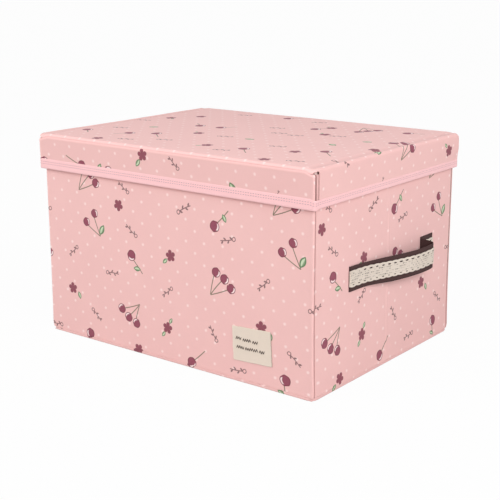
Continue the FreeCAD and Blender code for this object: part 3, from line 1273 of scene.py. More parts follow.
def write_print(
    mesh: bpy.types.Mesh, corners: np.ndarray, outer_count: int, cloth: Cloth
) -> None:
    """Store the print's dots and motifs on the outer faces of a sheet.

    Args:
        mesh: mesh of the sheet.
        corners: flat coordinates of the four corners of each face.
        outer_count: how many faces are outer ones. They come first.
        cloth: the sheet's print.
    """
    counted = with_third(cloth.dots.counted(corners))
    write_attribute(mesh, "dot_count", "FLOAT_VECTOR", "CORNER", counted)
    outer = np.zeros(len(corners))
    outer[:outer_count] = 1
    write_attribute(mesh, "printed", "FLOAT", "FACE", outer)
    for kind in Kind:
        placed = motif_places(corners[:outer_count], cloth.motifs, kind)
        for attribute, values in zip(kind.value[1], placed):
            whole = np.full((len(corners), 4, 3), FAR_AWAY)
            whole[:outer_count] = values
            write_attribute(mesh, attribute, "FLOAT_VECTOR", "CORNER", whole)


class Side(Enum):
    """The four sides of the box: the way along each, and the way out of it."""

    FRONT = ((1, 0), (0, -1))
    RIGHT = ((0, 1), (1, 0))
    REAR = ((-1, 0), (0, 1))
    LEFT = ((0, -1), (-1, 0))

    @property
    def wall_body(self) -> str:
        """Body of the long wall on this side."""
        return "front_wall" if self is Side.FRONT else "root"

    def place(self, along: np.ndarray, out: np.ndarray, up: np.ndarray) -> np.ndarray:
        """Points from their place along the side, their distance out and their height."""
        way, normal = self.value
        return grid(along * way[0] + out * normal[0], along * way[1] + out * normal[1], up)


# The four upright corners: the side of X and the side of Y that each lies on

CORNERS = {
    "front_right": (1, -1),
    "rear_right": (1, 1),
    "rear_left": (-1, 1),
    "front_left": (-1, -1),
}


@dataclass(frozen=True)
class Profile:
    """Line in the plane: its two coordinates, its outward normal and its flat length."""

    first: np.ndarray
    second: np.ndarray
    normal: np.ndarray
    length: np.ndarray

    def pushed(self, side: Side, shift: np.ndarray, up: np.ndarray) -> np.ndarray:
        """Points on a side of the box: the line at each height, shifted along its normals."""
        along = self.first[None] + self.normal[None, :, 0] * shift
        outward = self.second[None] + self.normal[None, :, 1] * shift
        return side.place(along, outward, up)

    def refined(self, fine: np.ndarray) -> "Profile":
        """The same line, its cells halved where fine is true at both of a cell's ends."""
        index = np.arange(len(self.first))
        split = np.flatnonzero(fine[:-1] & fine[1:]) + 0.5
        places = np.sort(np.concatenate([index, split]))
        first, second, normal_x, normal_y, length = (
            np.interp(places, index, values)
            for values in (self.first, self.second, *self.normal.T, self.length)
        )
        return Profile(first, second, unit(np.stack([normal_x, normal_y], axis=1)), length)


def wrapped_profile(half: float, out: float, radius: float, wrap: float, cell: float) -> Profile:
    """Line along a side that also turns round the corner at both ends.

    It runs straight, then along a quarter circle, then straight back by the rest of wrap.
    The flat length goes on evenly round the corner.

    Args:
        half: half the length of the side.
        out: how far out the side lies.
        radius: radius of the corner.
        wrap: how far the line goes on round the corner.
        cell: step along the straight part.

    Returns:
        The line, from one wrapped end to the other.
    """
    turn = np.linspace(0, math.pi / 2, 5)
    flat = steps(0, half - radius, cell)
    back = steps(out - radius, out - wrap, 1.0)
    first = chain(flat, half - radius + radius * np.sin(turn), np.full(len(back), half))
    second = chain(np.full(len(flat), out), out - radius + radius * np.cos(turn), back)
    lean = chain(np.zeros(len(flat)), turn, np.full(len(back), math.pi / 2))
    return Profile(
        first=mirrored(first),
        second=mirrored(second, 1),
        normal=np.stack([mirrored(np.sin(lean)), mirrored(np.cos(lean), 1)], axis=1),
        length=mirrored(first + (out - second)),
    )


PRINT_CELL = 2.5
COARSE_CELL = 8.0
FOOT_TURN = 0.18
FOOT_FLARE = 1.7
FOOT_CORNER = 8.0


def foot_profile(top: float) -> tuple[np.ndarray, np.ndarray, np.ndarray]:
    """Heights of a case cloth from its turned-in foot to its top.

    Returns:
        The height of each row, how far it is turned in, and its flat height, as columns.
    """
    turn = np.linspace(math.pi / 2, 0, 5)
    foot = SIZES.wall_foot
    rise = steps(foot + FOOT_TURN, top, PRINT_CELL)
    up = chain(foot + FOOT_TURN * (1 - np.sin(turn)), rise)[:, None]
    inset = chain(FOOT_TURN * (1 - np.cos(turn)), np.zeros(len(rise)))[:, None]
    return up, inset, up - inset


def cloth_skew(around: np.ndarray, up: np.ndarray) -> np.ndarray:
    """How far the cloth was pulled askew: more towards the foot, from the front's middle on."""
    drop = np.maximum(PRINT_TOP - 25 - up, 0)
    return 0.062 * drop * smooth_step((around - 250) / 200)


def foot_flare(points: np.ndarray) -> np.ndarray:
    """Spread the ends of the case a little at the foot, and round its corners there."""
    low = np.clip(1 - points[..., 2] / 95, 0, 1) ** 2
    far = smooth_step((np.abs(points[..., 0]) - 120) / (SIZES.half_length - 120))
    moved = points.copy()
    moved[..., 0] += np.sign(points[..., 0]) * FOOT_FLARE * low * far
    radius = FOOT_CORNER * np.clip(1 - points[..., 2] / 14, 0, 1) ** 2
    reach_x = SIZES.half_length + FOOT_FLARE * low + 0.3 - radius
    reach_y = SIZES.half_width + 0.3 - radius
    over_x = np.maximum(np.abs(moved[..., 0]) - reach_x, 0)
    over_y = np.maximum(np.abs(moved[..., 1]) - reach_y, 0)
    over = np.maximum(np.hypot(over_x, over_y), 1e-6)
    share = np.where((over_x > 0) & (over_y > 0), np.minimum(1, radius / over), 1.0)
    moved[..., 0] -= np.sign(moved[..., 0]) * over_x * (1 - share)
    moved[..., 1] -= np.sign(moved[..., 1]) * over_y * (1 - share)
    return moved


def wall_relief(along: np.ndarray, up: np.ndarray, half: float, seed: int) -> np.ndarray:
    """How far a long wall's cloth stands off its board: a slow swell and pressed corners."""
    swell = 0.35 * np.cos(np.clip(along / half, -1, 1) * math.pi / 2) * smooth_step(up / 90)
    uneven = 0.1 * ripple(along, up, seed) + 0.1
    edge = half - np.abs(along)
    post = 0.25 * smooth_step((3.4 - edge) / 1.2)
    return np.maximum(swell + uneven, 0) + post


@dataclass
class Case:
    """The case: four walls of printed cloth, their linings, bindings and the base."""

    cloth: float = 0.6
    crease_reach: float = 2.4
    crease_flat: float = 1.8
    crease_cell: float = 0.6
    panel_end: float = 144.3
    corner_radius: float = 1.2
    corner_wrap: float = 1.3
    corner_fine: float = 9.0
    rim_height: float = 10.0
    base_cell: float = 12.0
    folded_share: float = 0.125

    def build(self) -> None:
        """Build every cloth of the case."""
        motifs = case_print()
        self.long_wall("front_wall", Side.FRONT, 0.0, motifs, 3)
        self.long_wall("rear_wall", Side.REAR, REAR_START, motifs, 4)
        self.end_wall("right", Side.RIGHT, FRONT_LENGTH, motifs, 5)
        self.end_wall("left", Side.LEFT, LEFT_START, motifs, 6)
        self.corner_strips(motifs)
        self.rims()
        self.base(motifs)
        self.loose_board()

    def long_wall(self, name: str, side: Side, start: float, motifs: Motifs, seed: int) -> None:
        """Outer cloth and lining of the front or the rear wall.

        Args:
            name: name of the wall, with which its nodes start.
            side: the side it stands on.
            start: where the side starts in the print's flat length.
            motifs: the print of the side.
            seed: start of the random draws.
        """
        half, out = SIZES.half_length, SIZES.half_width
        line = wrapped_profile(half, out, self.corner_radius, self.corner_wrap, PRINT_CELL)
        line = line.refined(np.abs(half - np.abs(line.first)) < self.corner_fine)
        up, inset, flat_up = foot_profile(SIZES.cloth_top)
        shift = wall_relief(line.first[None], up, half, seed) - inset
        points = foot_flare(line.pushed(side, shift, up))
        around = start + half + line.length[None] + 0 * up
        flat = grid(around - cloth_skew(around, flat_up), flat_up - left_edge_lift(around))
        edge = half - np.abs(line.first)
        # Lighter along the corner edges, partly wear and partly painted highlight, and a little
        # lighter just above the foot.
        wear_and_painted_light = 0.45 * hump(edge, 0.2, 1.0)[None] + 0.2 * hump(up, 5, 3)
        cloth = Cloth(self.cloth, Finish.PRINTED, motifs, wear_and_painted_light=wear_and_painted_light)
        outer = sheet_piece(name + "_print", Surface(points, flat), cloth)
        stand_in(outer, side.wall_body, name + "_cloth")
        inner_half = half - SIZES.wall
        along = steps(-inner_half, inner_half, COARSE_CELL)[None]
        inner = self.inside(name + "_inside", side, along, out, seed + 20, 0.12, 0.15)
        stand_in(inner, side.wall_body, name + "_lining")

    def inside(
        self,
        name: str,
        side: Side,
        along: np.ndarray,
        out: float,
        seed: int,
        wave: float,
        slack: float,
    ) -> bpy.types.Object:
        """Lining of a wall: a sheet with slow waves, none of which goes into the board.

        Args:
            name: name of the piece.
            side: side of the box that it lies on.
            along: places along the side, as one row.
            out: distance of the wall's outer face from the middle of the box.
            seed: seed of the waves.
            wave: height of the waves.
            slack: how far the waves are lowered before their tops are cut off.
        """
        height = steps(SIZES.wall_foot, SIZES.cloth_top, COARSE_CELL)[:, None]
        soft = wave * ripple(along, height, seed) - slack
        points = side.place(along, out - SIZES.wall - np.minimum(soft, 0.0), height)
        sheet = Cloth(LINING_THICKNESS, Finish.LINING, outward=False)
        return sheet_piece(name, Surface(points, grid(along, height)), sheet)

    def creased(self, half: float, cell: float) -> np.ndarray:
        """Places along a side, close together in its middle, as one row."""
        away = steps(self.crease_reach, half, cell)
        middle = steps(-self.crease_flat, self.crease_flat, self.crease_cell)
        return np.concatenate([-away[::-1], middle, away])[None]

    def end_wall(self, end: str, side: Side, start: float, motifs: Motifs, seed: int) -> None:
        """Outer cloth and lining of one end, each a single sheet across its middle crease.

        Args:
            end: name of the end, with which its nodes start.
            side: the side it stands on.
            start: where the side starts in the print's flat length.
            motifs: the print of the side.
            seed: start of the random draws.
        """
        half, out = self.panel_end, SIZES.half_length
        along = self.creased(half, PRINT_CELL)
        up, inset, flat_up = foot_profile(SIZES.cloth_top)
        uneven = 0.1 * ripple(along, up, seed) + 0.12
        swell = 0.2 * np.sin(np.clip(np.abs(along) / half, 0, 1) * math.pi)
        crease = 0.28 * hump(along, 0.0, 1.3) - 0.2 * hump(np.abs(along), 3.4, 1.2)
        relief = np.maximum(uneven + swell, 0.02) + crease
        edge = smooth_step((half - np.abs(along)) / 2.5)
        points = foot_flare(side.place(along, out + (relief * edge - inset), up))
        around = start + SIZES.half_width + along + 0 * up
        nudge = 1.7 * hump(flat_up, 105, 45) - 1.5 * hump(flat_up, 12, 30)
        flat = grid(around - cloth_skew(around, flat_up), flat_up - nudge)
        # Lighter along the raised middle crease, partly wear and partly painted highlight, and a
        # little lighter just above the foot.
        faint = 0.8 * hump(up, 110, 60)
        wear_and_painted_light = 0.6 * hump(along, 0, 1.6) * faint + 0.2 * hump(up, 5, 3)
        cloth = Cloth(self.cloth, Finish.PRINTED, motifs, wear_and_painted_light=wear_and_painted_light)
        outer = sheet_piece(end + "_end_print", Surface(points, flat), cloth)
        bend_at_end(outer, end, self.crease_reach, "front_cloth", "rear_cloth")
        along = self.creased(half, COARSE_CELL)
        inner = self.inside(end + "_end_inside", side, along, out, seed + 20, 0.1, 0.12)
        bend_at_end(inner, end, self.crease_reach, "front_lining", "rear_lining")

    def corner_strips(self, motifs: Motifs) -> None:
        """Narrow turns of cloth that join the long walls to the ends at the four corners."""
        joined = {
            "front_right": (("front_wall", "right_end_front"), FRONT_LENGTH),
            "rear_right": (("root", "right_end_rear"), REAR_START),
            "rear_left": (("root", "left_end_rear"), LEFT_START),
            "front_left": (("front_wall", "front_wall"), PRINT_ROUND),
        }
        up = steps(SIZES.wall_foot, SIZES.cloth_top, PRINT_CELL)[:, None]
        back = np.array([1.0, 1.5, 1.9, 2.4, 2.9, 3.4, 4.4])[None]
        lift = np.array([-0.3, -0.5, -0.8, -0.95, -0.8, -0.5, -0.35])[None]
        # Painted shade: the corner groove is darkest at its deepest rows.
        tone = np.array([0.82, 0.6, 0.5, 0.46, 0.5, 0.6, 0.82])[None]
        for name, (x_side, y_side) in CORNERS.items():
            bodies, start = joined[name]
            x = x_side * (SIZES.half_length + lift)
            y = y_side * (SIZES.half_width - back)
            around = start - x_side * y_side * back + 0 * up
            flat = grid(around - cloth_skew(around, up), up)
            cloth = Cloth(0.3, Finish.PRINTED, motifs, tone=tone + 0 * up)
            surface = Surface(foot_flare(grid(x, y, up)), flat)
            strip = sheet_piece(f"corner_{name}", surface, cloth)
            if bodies[0] == bodies[1]:
                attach(strip, bodies[0])
                continue
            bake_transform(strip)

    def rims(self) -> None:
        """Ribbon folded over the top edge of each wall."""
        top, low = SIZES.rim_top, SIZES.rim_top - self.rim_height
        across = np.array([0.4, 0.45, 0.45, 0.42, 0.1, -0.8, -1.5, -2.2, -3.1, -3.4, -3.4, -3.4])
        level = np.array([low, low + 3, low + 6, top - 1.2, top - 0.25, top, top, top,
                          top - 0.25, top - 1.2, low + 5, low])
        across = np.clip(across, -SIZES.wall - LINING_THICKNESS, 0.45)
        length = walked(across, level)[:, None]
        sides = (
            ("front_wall", Side.FRONT, SIZES.half_length, SIZES.half_width),
            ("rear_wall", Side.REAR, SIZES.half_length, SIZES.half_width),
            ("right_end", Side.RIGHT, self.panel_end - 0.3, SIZES.half_length),
            ("left_end", Side.LEFT, self.panel_end - 0.3, SIZES.half_length),
        )
        for name, side, half, out in sides:
            along = self.creased(half, 5.0)
            soft = 0.06 * ripple(along, length, 31)
            points = side.place(along, out + across[:, None] - 0.05 + soft * 0.5, level[:, None])
            surface = Surface(points, grid(along, length))
            rim = sheet_piece(name + "_rim", surface, Cloth(0.35, Finish.PALE_RIBBON))
            if side in (Side.FRONT, Side.REAR):
                stand_in(rim, side.wall_body, name + "_rim_binding")
            else:
                nodes = ("front_rim_binding", "rear_rim_binding")
                bend_at_end(rim, name.split("_")[0], self.crease_reach, *nodes)

    def base(self, motifs: Motifs) -> None:
        """Cloth base and the sewn welt round its edge."""
        half_x, half_y = SIZES.half_length, SIZES.half_width
        x = steps(-half_x + 0.6, half_x - 0.6, self.base_cell)[None]
        y = steps(-half_y + 0.6, half_y - 0.6, self.base_cell)[:, None]
        level = np.maximum(0.06 * ripple(x, y, 41) + 0.1, 0.0)
        cloth = Cloth(SIZES.floor_level - 0.25, Finish.BASE)
        base = sheet_piece("base_underside", Surface(grid(x, y, level), grid(x, y)), cloth)
        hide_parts("base_cloth")
        self.fold_with_case(base)
        top = SIZES.wall_foot - 0.05
        rows = [
            (-2.6, 0.02), (-1.0, 0.02), (-0.3, 0.15), (0.1, 0.6), (0.2, 1.4), (0.25, 2.4),
            (0.25, top - 0.1), (-0.3, top), (-2.6, top),
        ]
        # Painted shade on the rows turned under the base and on the row tucked in at the top.
        tone = np.array([0.85, 0.85, 0.88, 0.95, 1, 1, 1, 1, 0.9])[:, None]
        cloth = Cloth(0.5, Finish.PRINTED, motifs, tone=tone)
        oblong = RoundedOblong(half_x + 1.5, half_y + 0.1, FOOT_CORNER)
        welt = ring_piece("base_welt", oblong, rows, cloth, welt_flat)
        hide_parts("base_edge_welt")
        self.fold_with_case(welt)

    def fold_with_case(self, piece: bpy.types.Object) -> None:
        """Let a piece of the base ride on the root body, with a mesh of its own."""
        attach(piece, "root")
        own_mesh(piece)

    def loose_board(self) -> None:
        """Cover of the loose board: a flat top whose edges roll down to the base."""
        radius, edge_depth = 1.1, 2.0
        turn = np.linspace(0, math.pi / 2, 5)
        lines = []
        for half in node_box("base_board_cover")[1][:2]:
            flat_part = steps(0, half - radius, COARSE_CELL)
            roll = half - radius + radius * np.sin(turn)
            place = chain(flat_part, roll, np.array([half, half]))
            fall = radius * np.cos(turn) - radius
            drop = chain(np.zeros(len(flat_part)), fall, np.array([0, -edge_depth]))
            lines.append((mirrored(place), mirrored(drop, 1)))
        (x, x_drop), (y, y_drop) = lines
        x, y = x[None], y[:, None]
        drop = np.minimum(x_drop[None], y_drop[:, None])
        soft = 0.08 * (ripple(x, y, 51) - 1.0) * (drop > -0.1)
        surface = Surface(grid(x, y, SIZES.cover_top + drop + soft), grid(x, y))
        cover = sheet_piece("base_board_wrap", surface, Cloth(0.22, Finish.LINING))
        stand_in(cover, "base_board", "base_board_cover")


def welt_flat(length: np.ndarray, level: np.ndarray) -> np.ndarray:
    """Flat coordinates on the case's cloth of the welt, which carries on its print."""
    around = FOOT_CORNER + length + 0 * level
    return grid(around - cloth_skew(around, level), level)


def reshape(piece: bpy.types.Object, change: Callable[[np.ndarray], np.ndarray]) -> None:
    """Move the vertices of a piece by a function of their places in millimetres."""
    mesh = piece.data
    held = np.empty(len(mesh.vertices) * 3, np.float32)
    mesh.vertices.foreach_get("co", held)
    moved = change(held.reshape(-1, 3).astype(float) / METRES) * METRES
    mesh.vertices.foreach_set("co", moved.astype(np.float32).ravel())
    mesh.update()


def lid_corner_spread(points: np.ndarray) -> np.ndarray:
    """Spread the lid's front left and rear right corners outwards a little."""
    x, y, z = points.T
    near = smooth_step((np.abs(x) - 185) / 17) * smooth_step((np.abs(y) - 60) / 80)
    left = np.interp(z, [208, 250], [1.9, 3.0]) * ((x < 0) & (y < 0))
    right = np.interp(z, [208, 219, 232, 250], [0, 0, 1.6, 1.0]) * ((x > 0) & (y > 0))
    moved = points.copy()
    moved[:, 0] += near * (right - left)
    return moved


def binding_sag(points: np.ndarray) -> np.ndarray:
    """Lower the binding's foot along the front, and its top along the right end."""
    x, y, z = points.T
    up = (z - SIZES.skirt_foot) / (SIZES.binding_top - SIZES.skirt_foot)
    front = smooth_step((-y - 145) / 6)
    right = smooth_step((x - 195) / 6)
    moved = points.copy()
    moved[:, 2] -= 1.4 * np.clip(1 - up, 0, 1) * front + 1.6 * np.clip(up, 0, 1) * right
    return moved


@dataclass
class RoundedOblong:
    """Points round an oblong with rounded corners, from its front left corner.

    Besides each point's place it holds its outward normal and the length walked to it. The
    length has one value more, for the way back to the first point.
    """

    half_x: float
    half_y: float
    radius: float
    cell: float = 4.0

    def __post_init__(self) -> None:
        """Walk the four sides, each a straight run and the quarter circle after it."""
        inner = np.array([self.half_x, self.half_y]) - self.radius
        ends = [inner * np.array(CORNERS[name]) for name in (
            "front_left", "front_right", "rear_right", "rear_left", "front_left"
        )]
        places, angles = [], []
        for quarter, (start, stop) in enumerate(zip(ends, ends[1:])):
            heading = (quarter - 1) * math.pi / 2
            angle = heading + np.linspace(0, math.pi / 2, 6)
            arc = self.radius * np.stack([np.cos(angle), np.sin(angle)], axis=1)
            share = steps(0, 1, self.cell / np.abs(stop - start).sum())[:, None]
            places += [start + (stop - start) * share + arc[0], (stop + arc)[1:-1]]
            angles += [np.full(len(share), heading), angle[1:-1]]
        self.x, self.y = np.concatenate(places).T
        angle = np.concatenate(angles)
        self.normal = np.stack([np.cos(angle), np.sin(angle)], axis=1)
        self.length = walked(np.append(self.x, self.x[0]), np.append(self.y, self.y[0]))

    def at(self, walk: np.ndarray, level: float) -> np.ndarray:
        """Points on the outline at lengths walked along it, all at one level."""
        x, y = (np.interp(walk, self.length, np.append(part, part[0])) for part in (self.x, self.y))
        return grid(x, y, level)


def ring_piece(
    name: str,
    oblong: RoundedOblong,
    rows: list[Point],
    cloth: Cloth,
    flat_from: Callable[[np.ndarray, np.ndarray], np.ndarray] | None = None,
) -> bpy.types.Object:
    """Sheet carried round a rounded oblong: each row is an offset from it and a height.

    Args:
        name: name of the piece.
        oblong: the rounded oblong it follows.
        rows: an offset from the oblong and a height for each row.
        cloth: thickness, finish and print of the sheet.
        flat_from: gives the flat coordinates from the length walked and the height.
            Without it they are the length walked and the way up the rows.

    Returns:
        The piece, dressed in its finish.
    """
    offset, level = np.array(rows).T[..., None]
    x = oblong.x[None] + oblong.normal[None, :, 0] * offset
    y = oblong.y[None] + oblong.normal[None, :, 1] * offset
    length = oblong.length[None]
    if flat_from is None:
        flat = grid(length, walked(offset[:, 0], level[:, 0])[:, None])
    else:
        flat = flat_from(length, level)
    return sheet_piece(name, Surface(grid(x, y, level), flat, ring=True), cloth)


@dataclass
class Lid:
    """The lid: cloth over its top and ends, two skirts, corner tucks, lining and binding."""

    cloth: float = 0.55
    edge_radius: float = 4.0
    plan_radius: float = 5.0
    end_cloth_edge: float = 145.0
    rear_cloth_edge: float = 150.4
    trough_centre: float = 193.5
    trough_width: float = 7.5
    trough_depth: float = 1.6
    board_round: float = 3.2
    board_top: float = 243.5
    long_board_gap: float = 3.0
    end_board_gap: float = 4.5
    foot_gap: float = 0.6
    stitch_pitch: float = 3.3

    def build(self) -> None:
        """Build every cloth of the lid."""
        self.top_cloth()
        self.skirt("front", Side.FRONT, front_skirt_print(), 12)
        self.skirt("rear", Side.REAR, front_skirt_print().mirrored(), 13)
        self.skirt_boards()
        self.tucks()
        self.lining()
        self.binding()

    def roll_radius(self, x: np.ndarray) -> np.ndarray:
        """Radius of the roll along the front and rear edges, which grows near the ends."""
        return 3.0 + 3.5 * smooth_step((np.abs(x) - 187) / 13)

    def skirt_boards(self) -> None:
        """Boards of the four skirts, their top edge pressed round under the cloth."""
        turn = np.linspace(0, math.pi / 4, 4)
        for side in Side:
            name = f"lid_{side.name.lower()}_skirt_board"
            low, high = node_box(name)
            facing = 0 if side in (Side.LEFT, Side.RIGHT) else 1
            out = max(abs(low[facing]), abs(high[facing]))
            half = high[1 - facing] - (self.long_board_gap if facing else self.end_board_gap)
            up = chain(np.array([low[2], self.board_top / 2 + low[2] / 2]),
                       self.board_top - self.board_round + self.board_round * np.sin(turn))
            inset = np.concatenate([[0], self.board_round * (1 - np.cos(turn))])
            along = steps(-half, half, 30.0)[None]
            points = side.place(along, out - inset[:, None], up[:, None])
            sheet = Cloth(high[facing] - low[facing], Finish.BOARD)
            surface = Surface(points, grid(along, up[:, None]))
            self.keep(sheet_piece(name + "_rounded", surface, sheet), name)

    def keep(self, piece: bpy.types.Object, *nodes: str) -> None:
        """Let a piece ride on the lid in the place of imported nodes."""
        reshape(piece, lid_corner_spread)
        stand_in(piece, "lid", *nodes)

    def top_cloth(self) -> None:
        """Cloth over the top and down both ends.

        Columns follow X over the rounded edges, rows follow Y. The width narrows at the
        rounded corners, and again down the ends, which leaves the open slits.
        """
        half, top, radius = SIZES.lid_half_length, SIZES.lid_top, self.edge_radius
        turn = np.linspace(0, math.pi / 2, 7)
        flat_part = steps(0, half - radius, PRINT_CELL)
        drop_part = steps(top - radius, SIZES.skirt_foot + self.foot_gap, PRINT_CELL)
        x = chain(flat_part, half - radius + radius * np.sin(turn), np.full(len(drop_part), half))
        z = chain(np.full(len(flat_part), top), top - radius + radius * np.cos(turn), drop_part)
        x, z = mirrored(x)[None], mirrored(z, 1)[None]
        inset = np.abs(x) - (half - self.plan_radius)
        shoulder = np.sqrt(np.maximum(self.plan_radius**2 - np.maximum(inset, 0) ** 2, 0))
        plan = SIZES.lid_half_width - self.plan_radius + shoulder
        narrow = smooth_step((top - z - 1.5) / 3.5)
        on_top = 1 - narrow
        inner = steps(-1, 1, PRINT_CELL / SIZES.lid_half_width)
        share = np.sort(np.concatenate([inner, [-0.996, -0.985, 0.985, 0.996]]))[:, None]
        end_edge = np.where(share > 0, self.rear_cloth_edge, self.end_cloth_edge)
        y = share * (plan * on_top + end_edge * narrow)
        round_off = self.roll_radius(x)
        over = np.maximum(np.abs(y) - (SIZES.lid_half_width - round_off), 0)
        roll = round_off - np.sqrt(np.maximum(round_off**2 - over**2, 0.02))
        off = np.clip((np.abs(x) - self.trough_centre) / self.trough_width, -1, 1)
        dip = np.cos(off * math.pi / 2) ** 2 * smooth_step((SIZES.lid_half_width - np.abs(y)) / 9)
        uneven = 0.16 * ripple(x, y, 11) - 0.25
        level = z - (roll + self.trough_depth * dip - np.minimum(uneven, 0)) * on_top
        bulge = np.sign(x) * (0.1 + 0.12 * ripple(y, z, 14) * narrow)
        around = np.sign(x) * (np.abs(x) + (top - z))
        # Painted highlight: pale lines along the rounded end edges (rim) and the rolled front and
        # rear edges (front).
        rim = hump(np.abs(around), half + 1.5, 2.2) * 0.5
        front = 1.1 * hump(np.abs(y), SIZES.lid_half_width - 0.8, 1.2) * on_top
        # Painted shade in the trough inside both end edges, deeper on the right.
        tone = 1 - np.where(x > 0, 0.11, 0.07) * dip * on_top
        cloth = Cloth(self.cloth, Finish.PRINTED, lid_print(), LID_DOTS, tone, rim + front)
        surface = Surface(grid(x + bulge * narrow, y, level), grid(around, y))
        self.keep(sheet_piece("lid_top_print", surface, cloth), "lid_cloth")

    def skirt(self, name: str, side: Side, motifs: Motifs, seed: int) -> None:
        """Front or rear skirt: its top edge rolls in under the top cloth behind a ridge.

        Args:
            name: front or rear.
            side: the side it hangs on.
            motifs: the print of the skirt.
            seed: start of the random draws.
        """
        half = SIZES.lid_half_length - 1.2
        line = wrapped_profile(half, SIZES.lid_half_width, 1.0, 1.0, PRINT_CELL)
        first = line.first[None]
        foot = SIZES.skirt_foot + self.foot_gap
        shoulder = SIZES.lid_top - 1.4 - self.roll_radius(first)
        rise = steps(0, 1, 1 / 15)
        turn = np.linspace(0, math.pi / 2, 5)
        share = chain(rise, np.ones(len(turn)))[:, None]
        bend = chain(np.zeros(len(rise)), turn)[:, None]
        up = foot + (shoulder - foot) * share + 1.5 * np.sin(bend)
        inset = 1.5 * (1 - np.cos(bend))
        ridge = 0.35 * hump(up, shoulder - 0.6, 0.9)
        edge = half - np.abs(first)
        seam = 0.3 * hump(edge, 1.0, 0.9) - 0.25 * hump(edge, 3.4, 0.8)
        uneven = 0.08 * ripple(first, up, seed) + 0.1
        points = line.pushed(side, ridge + seam + np.maximum(uneven, 0) - inset, up)
        # Painted highlight along the ridge below the roll and at both ends, and the whole skirt
        # painted 5 % darker.
        wear_and_painted_light = 1.7 * hump(up, shoulder - 0.2, 1.0) + hump(edge, 0.6, 1.2)
        cloth = Cloth(0.5, Finish.PRINTED, motifs, SKIRT_DOTS, 0.95, wear_and_painted_light)
        surface = Surface(points, grid(line.length[None], up))
        self.keep(sheet_piece(f"lid_{name}_print", surface, cloth), f"lid_{name}_skirt_cloth")

    def tucks(self) -> None:
        """Folded strips of cloth behind the open slits at the four corners."""
        back = np.array([8.0, 7.0, 6.4, 6.0, 5.6, 5.0, 4.2, 3.6, 3.2, 3.0, 2.9, 2.2, 1.2])[None]
        reach_out = np.array(
            [-0.6, -0.7, -0.8, -0.75, -0.35, -0.05, 0, -0.1, -0.5, -1.2, -2.2, -2.7, -2.7]
        )[None]
        # Painted shade: each tuck is darker where it lies deep in its slit.
        tone = np.array([0.8, 0.7, 0.65, 0.7, 0.9, 0.95, 0.95, 0.9, 0.75, 0.6, 0.45, 0.4, 0.4])
        up = steps(SIZES.skirt_foot + 1.0, SIZES.lid_top - 6.5, 4.0)[:, None]
        for name, (x_side, y_side) in CORNERS.items():
            sway = 0.12 * np.sin(up / 5.0 + x_side) * (np.abs(back - 4.5) < 1)
            x = x_side * (SIZES.lid_half_length + reach_out + sway)
            y = y_side * (SIZES.lid_half_width - back)
            cloth = Cloth(0.3, Finish.PRINTED, Motifs(), LID_DOTS, tone + 0 * up)
            surface = Surface(grid(x, y, up), grid(back, up))
            self.keep(sheet_piece(f"lid_tuck_{name}", surface, cloth), "lid_corner_tucks")

    def lining(self) -> None:
        """Lining of the lid: a flat ceiling whose sides turn down to the foot."""
        low, high = node_box("lid_lining")
        lines = []
        for half in high[:2] - LINING_THICKNESS:
            flat_part = steps(0, half - 1.0, 10.0)
            fall = SIZES.lid_underside - steps(SIZES.lid_underside - 1.0, low[2], COARSE_CELL)
            place = np.concatenate([flat_part, [half - 0.3], np.full(len(fall), half)])
            drop = np.concatenate([np.zeros(len(flat_part)), [0.3], fall])
            lines.append((mirrored(place), mirrored(drop, 1)))
        (x, x_drop), (y, y_drop) = lines
        level = SIZES.lid_underside - np.maximum(x_drop[None], y_drop[:, None])
        run_x = np.sign(x) * (np.abs(x) + x_drop)
        run_y = np.sign(y) * (np.abs(y) + y_drop)
        surface = Surface(grid(x[None], y[:, None], level), grid(run_x[None], run_y[:, None]))
        cloth = Cloth(0.3, Finish.LINING, outward=False)
        self.keep(sheet_piece("lid_inside", surface, cloth), "lid_lining")

    def binding(self) -> None:
        """Ribbon folded over the foot of the skirts, and its two rows of stitches."""
        foot, top = SIZES.skirt_foot, SIZES.binding_top
        rows = [
            (-3.2, foot + 0.4), (-1.4, foot + 0.1), (-0.4, foot + 0.12), (0.05, foot + 0.7),
            (0.1, foot + 2.0), (0.06, foot + 4.5), (0.02, foot + 5.8), (0.05, foot + 7.4),
            (0.02, foot + 8.4), (0.02, top - 0.7), (-0.05, top - 0.15), (-0.3, top),
        ]
        outline = RoundedOblong(SIZES.lid_half_length + 0.4, SIZES.lid_half_width + 0.4, 2.6)
        ribbon = ring_piece("lid_ribbon", outline, rows, Cloth(0.35, Finish.PALE_RIBBON))
        reshape(ribbon, binding_sag)
        self.keep(ribbon, "lid_binding")
        count = round(outline.length[-1] / self.stitch_pitch)
        walk = (np.arange(count) + 0.3) * outline.length[-1] / count
        for name, height in (("upper", 7.9), ("lower", 5.6)):
            place = outline.at(walk, foot + height)
            way = unit(outline.at(walk + 0.5, foot + height + 0.04) - place)
            threads = stitches(f"lid_{name}_stitches", place, way, 2.1, 0.6)
            reshape(threads, binding_sag)
            reshape(threads, lid_corner_spread)
            dress(threads, Finish.PALE_THREAD)
            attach(threads, "lid")


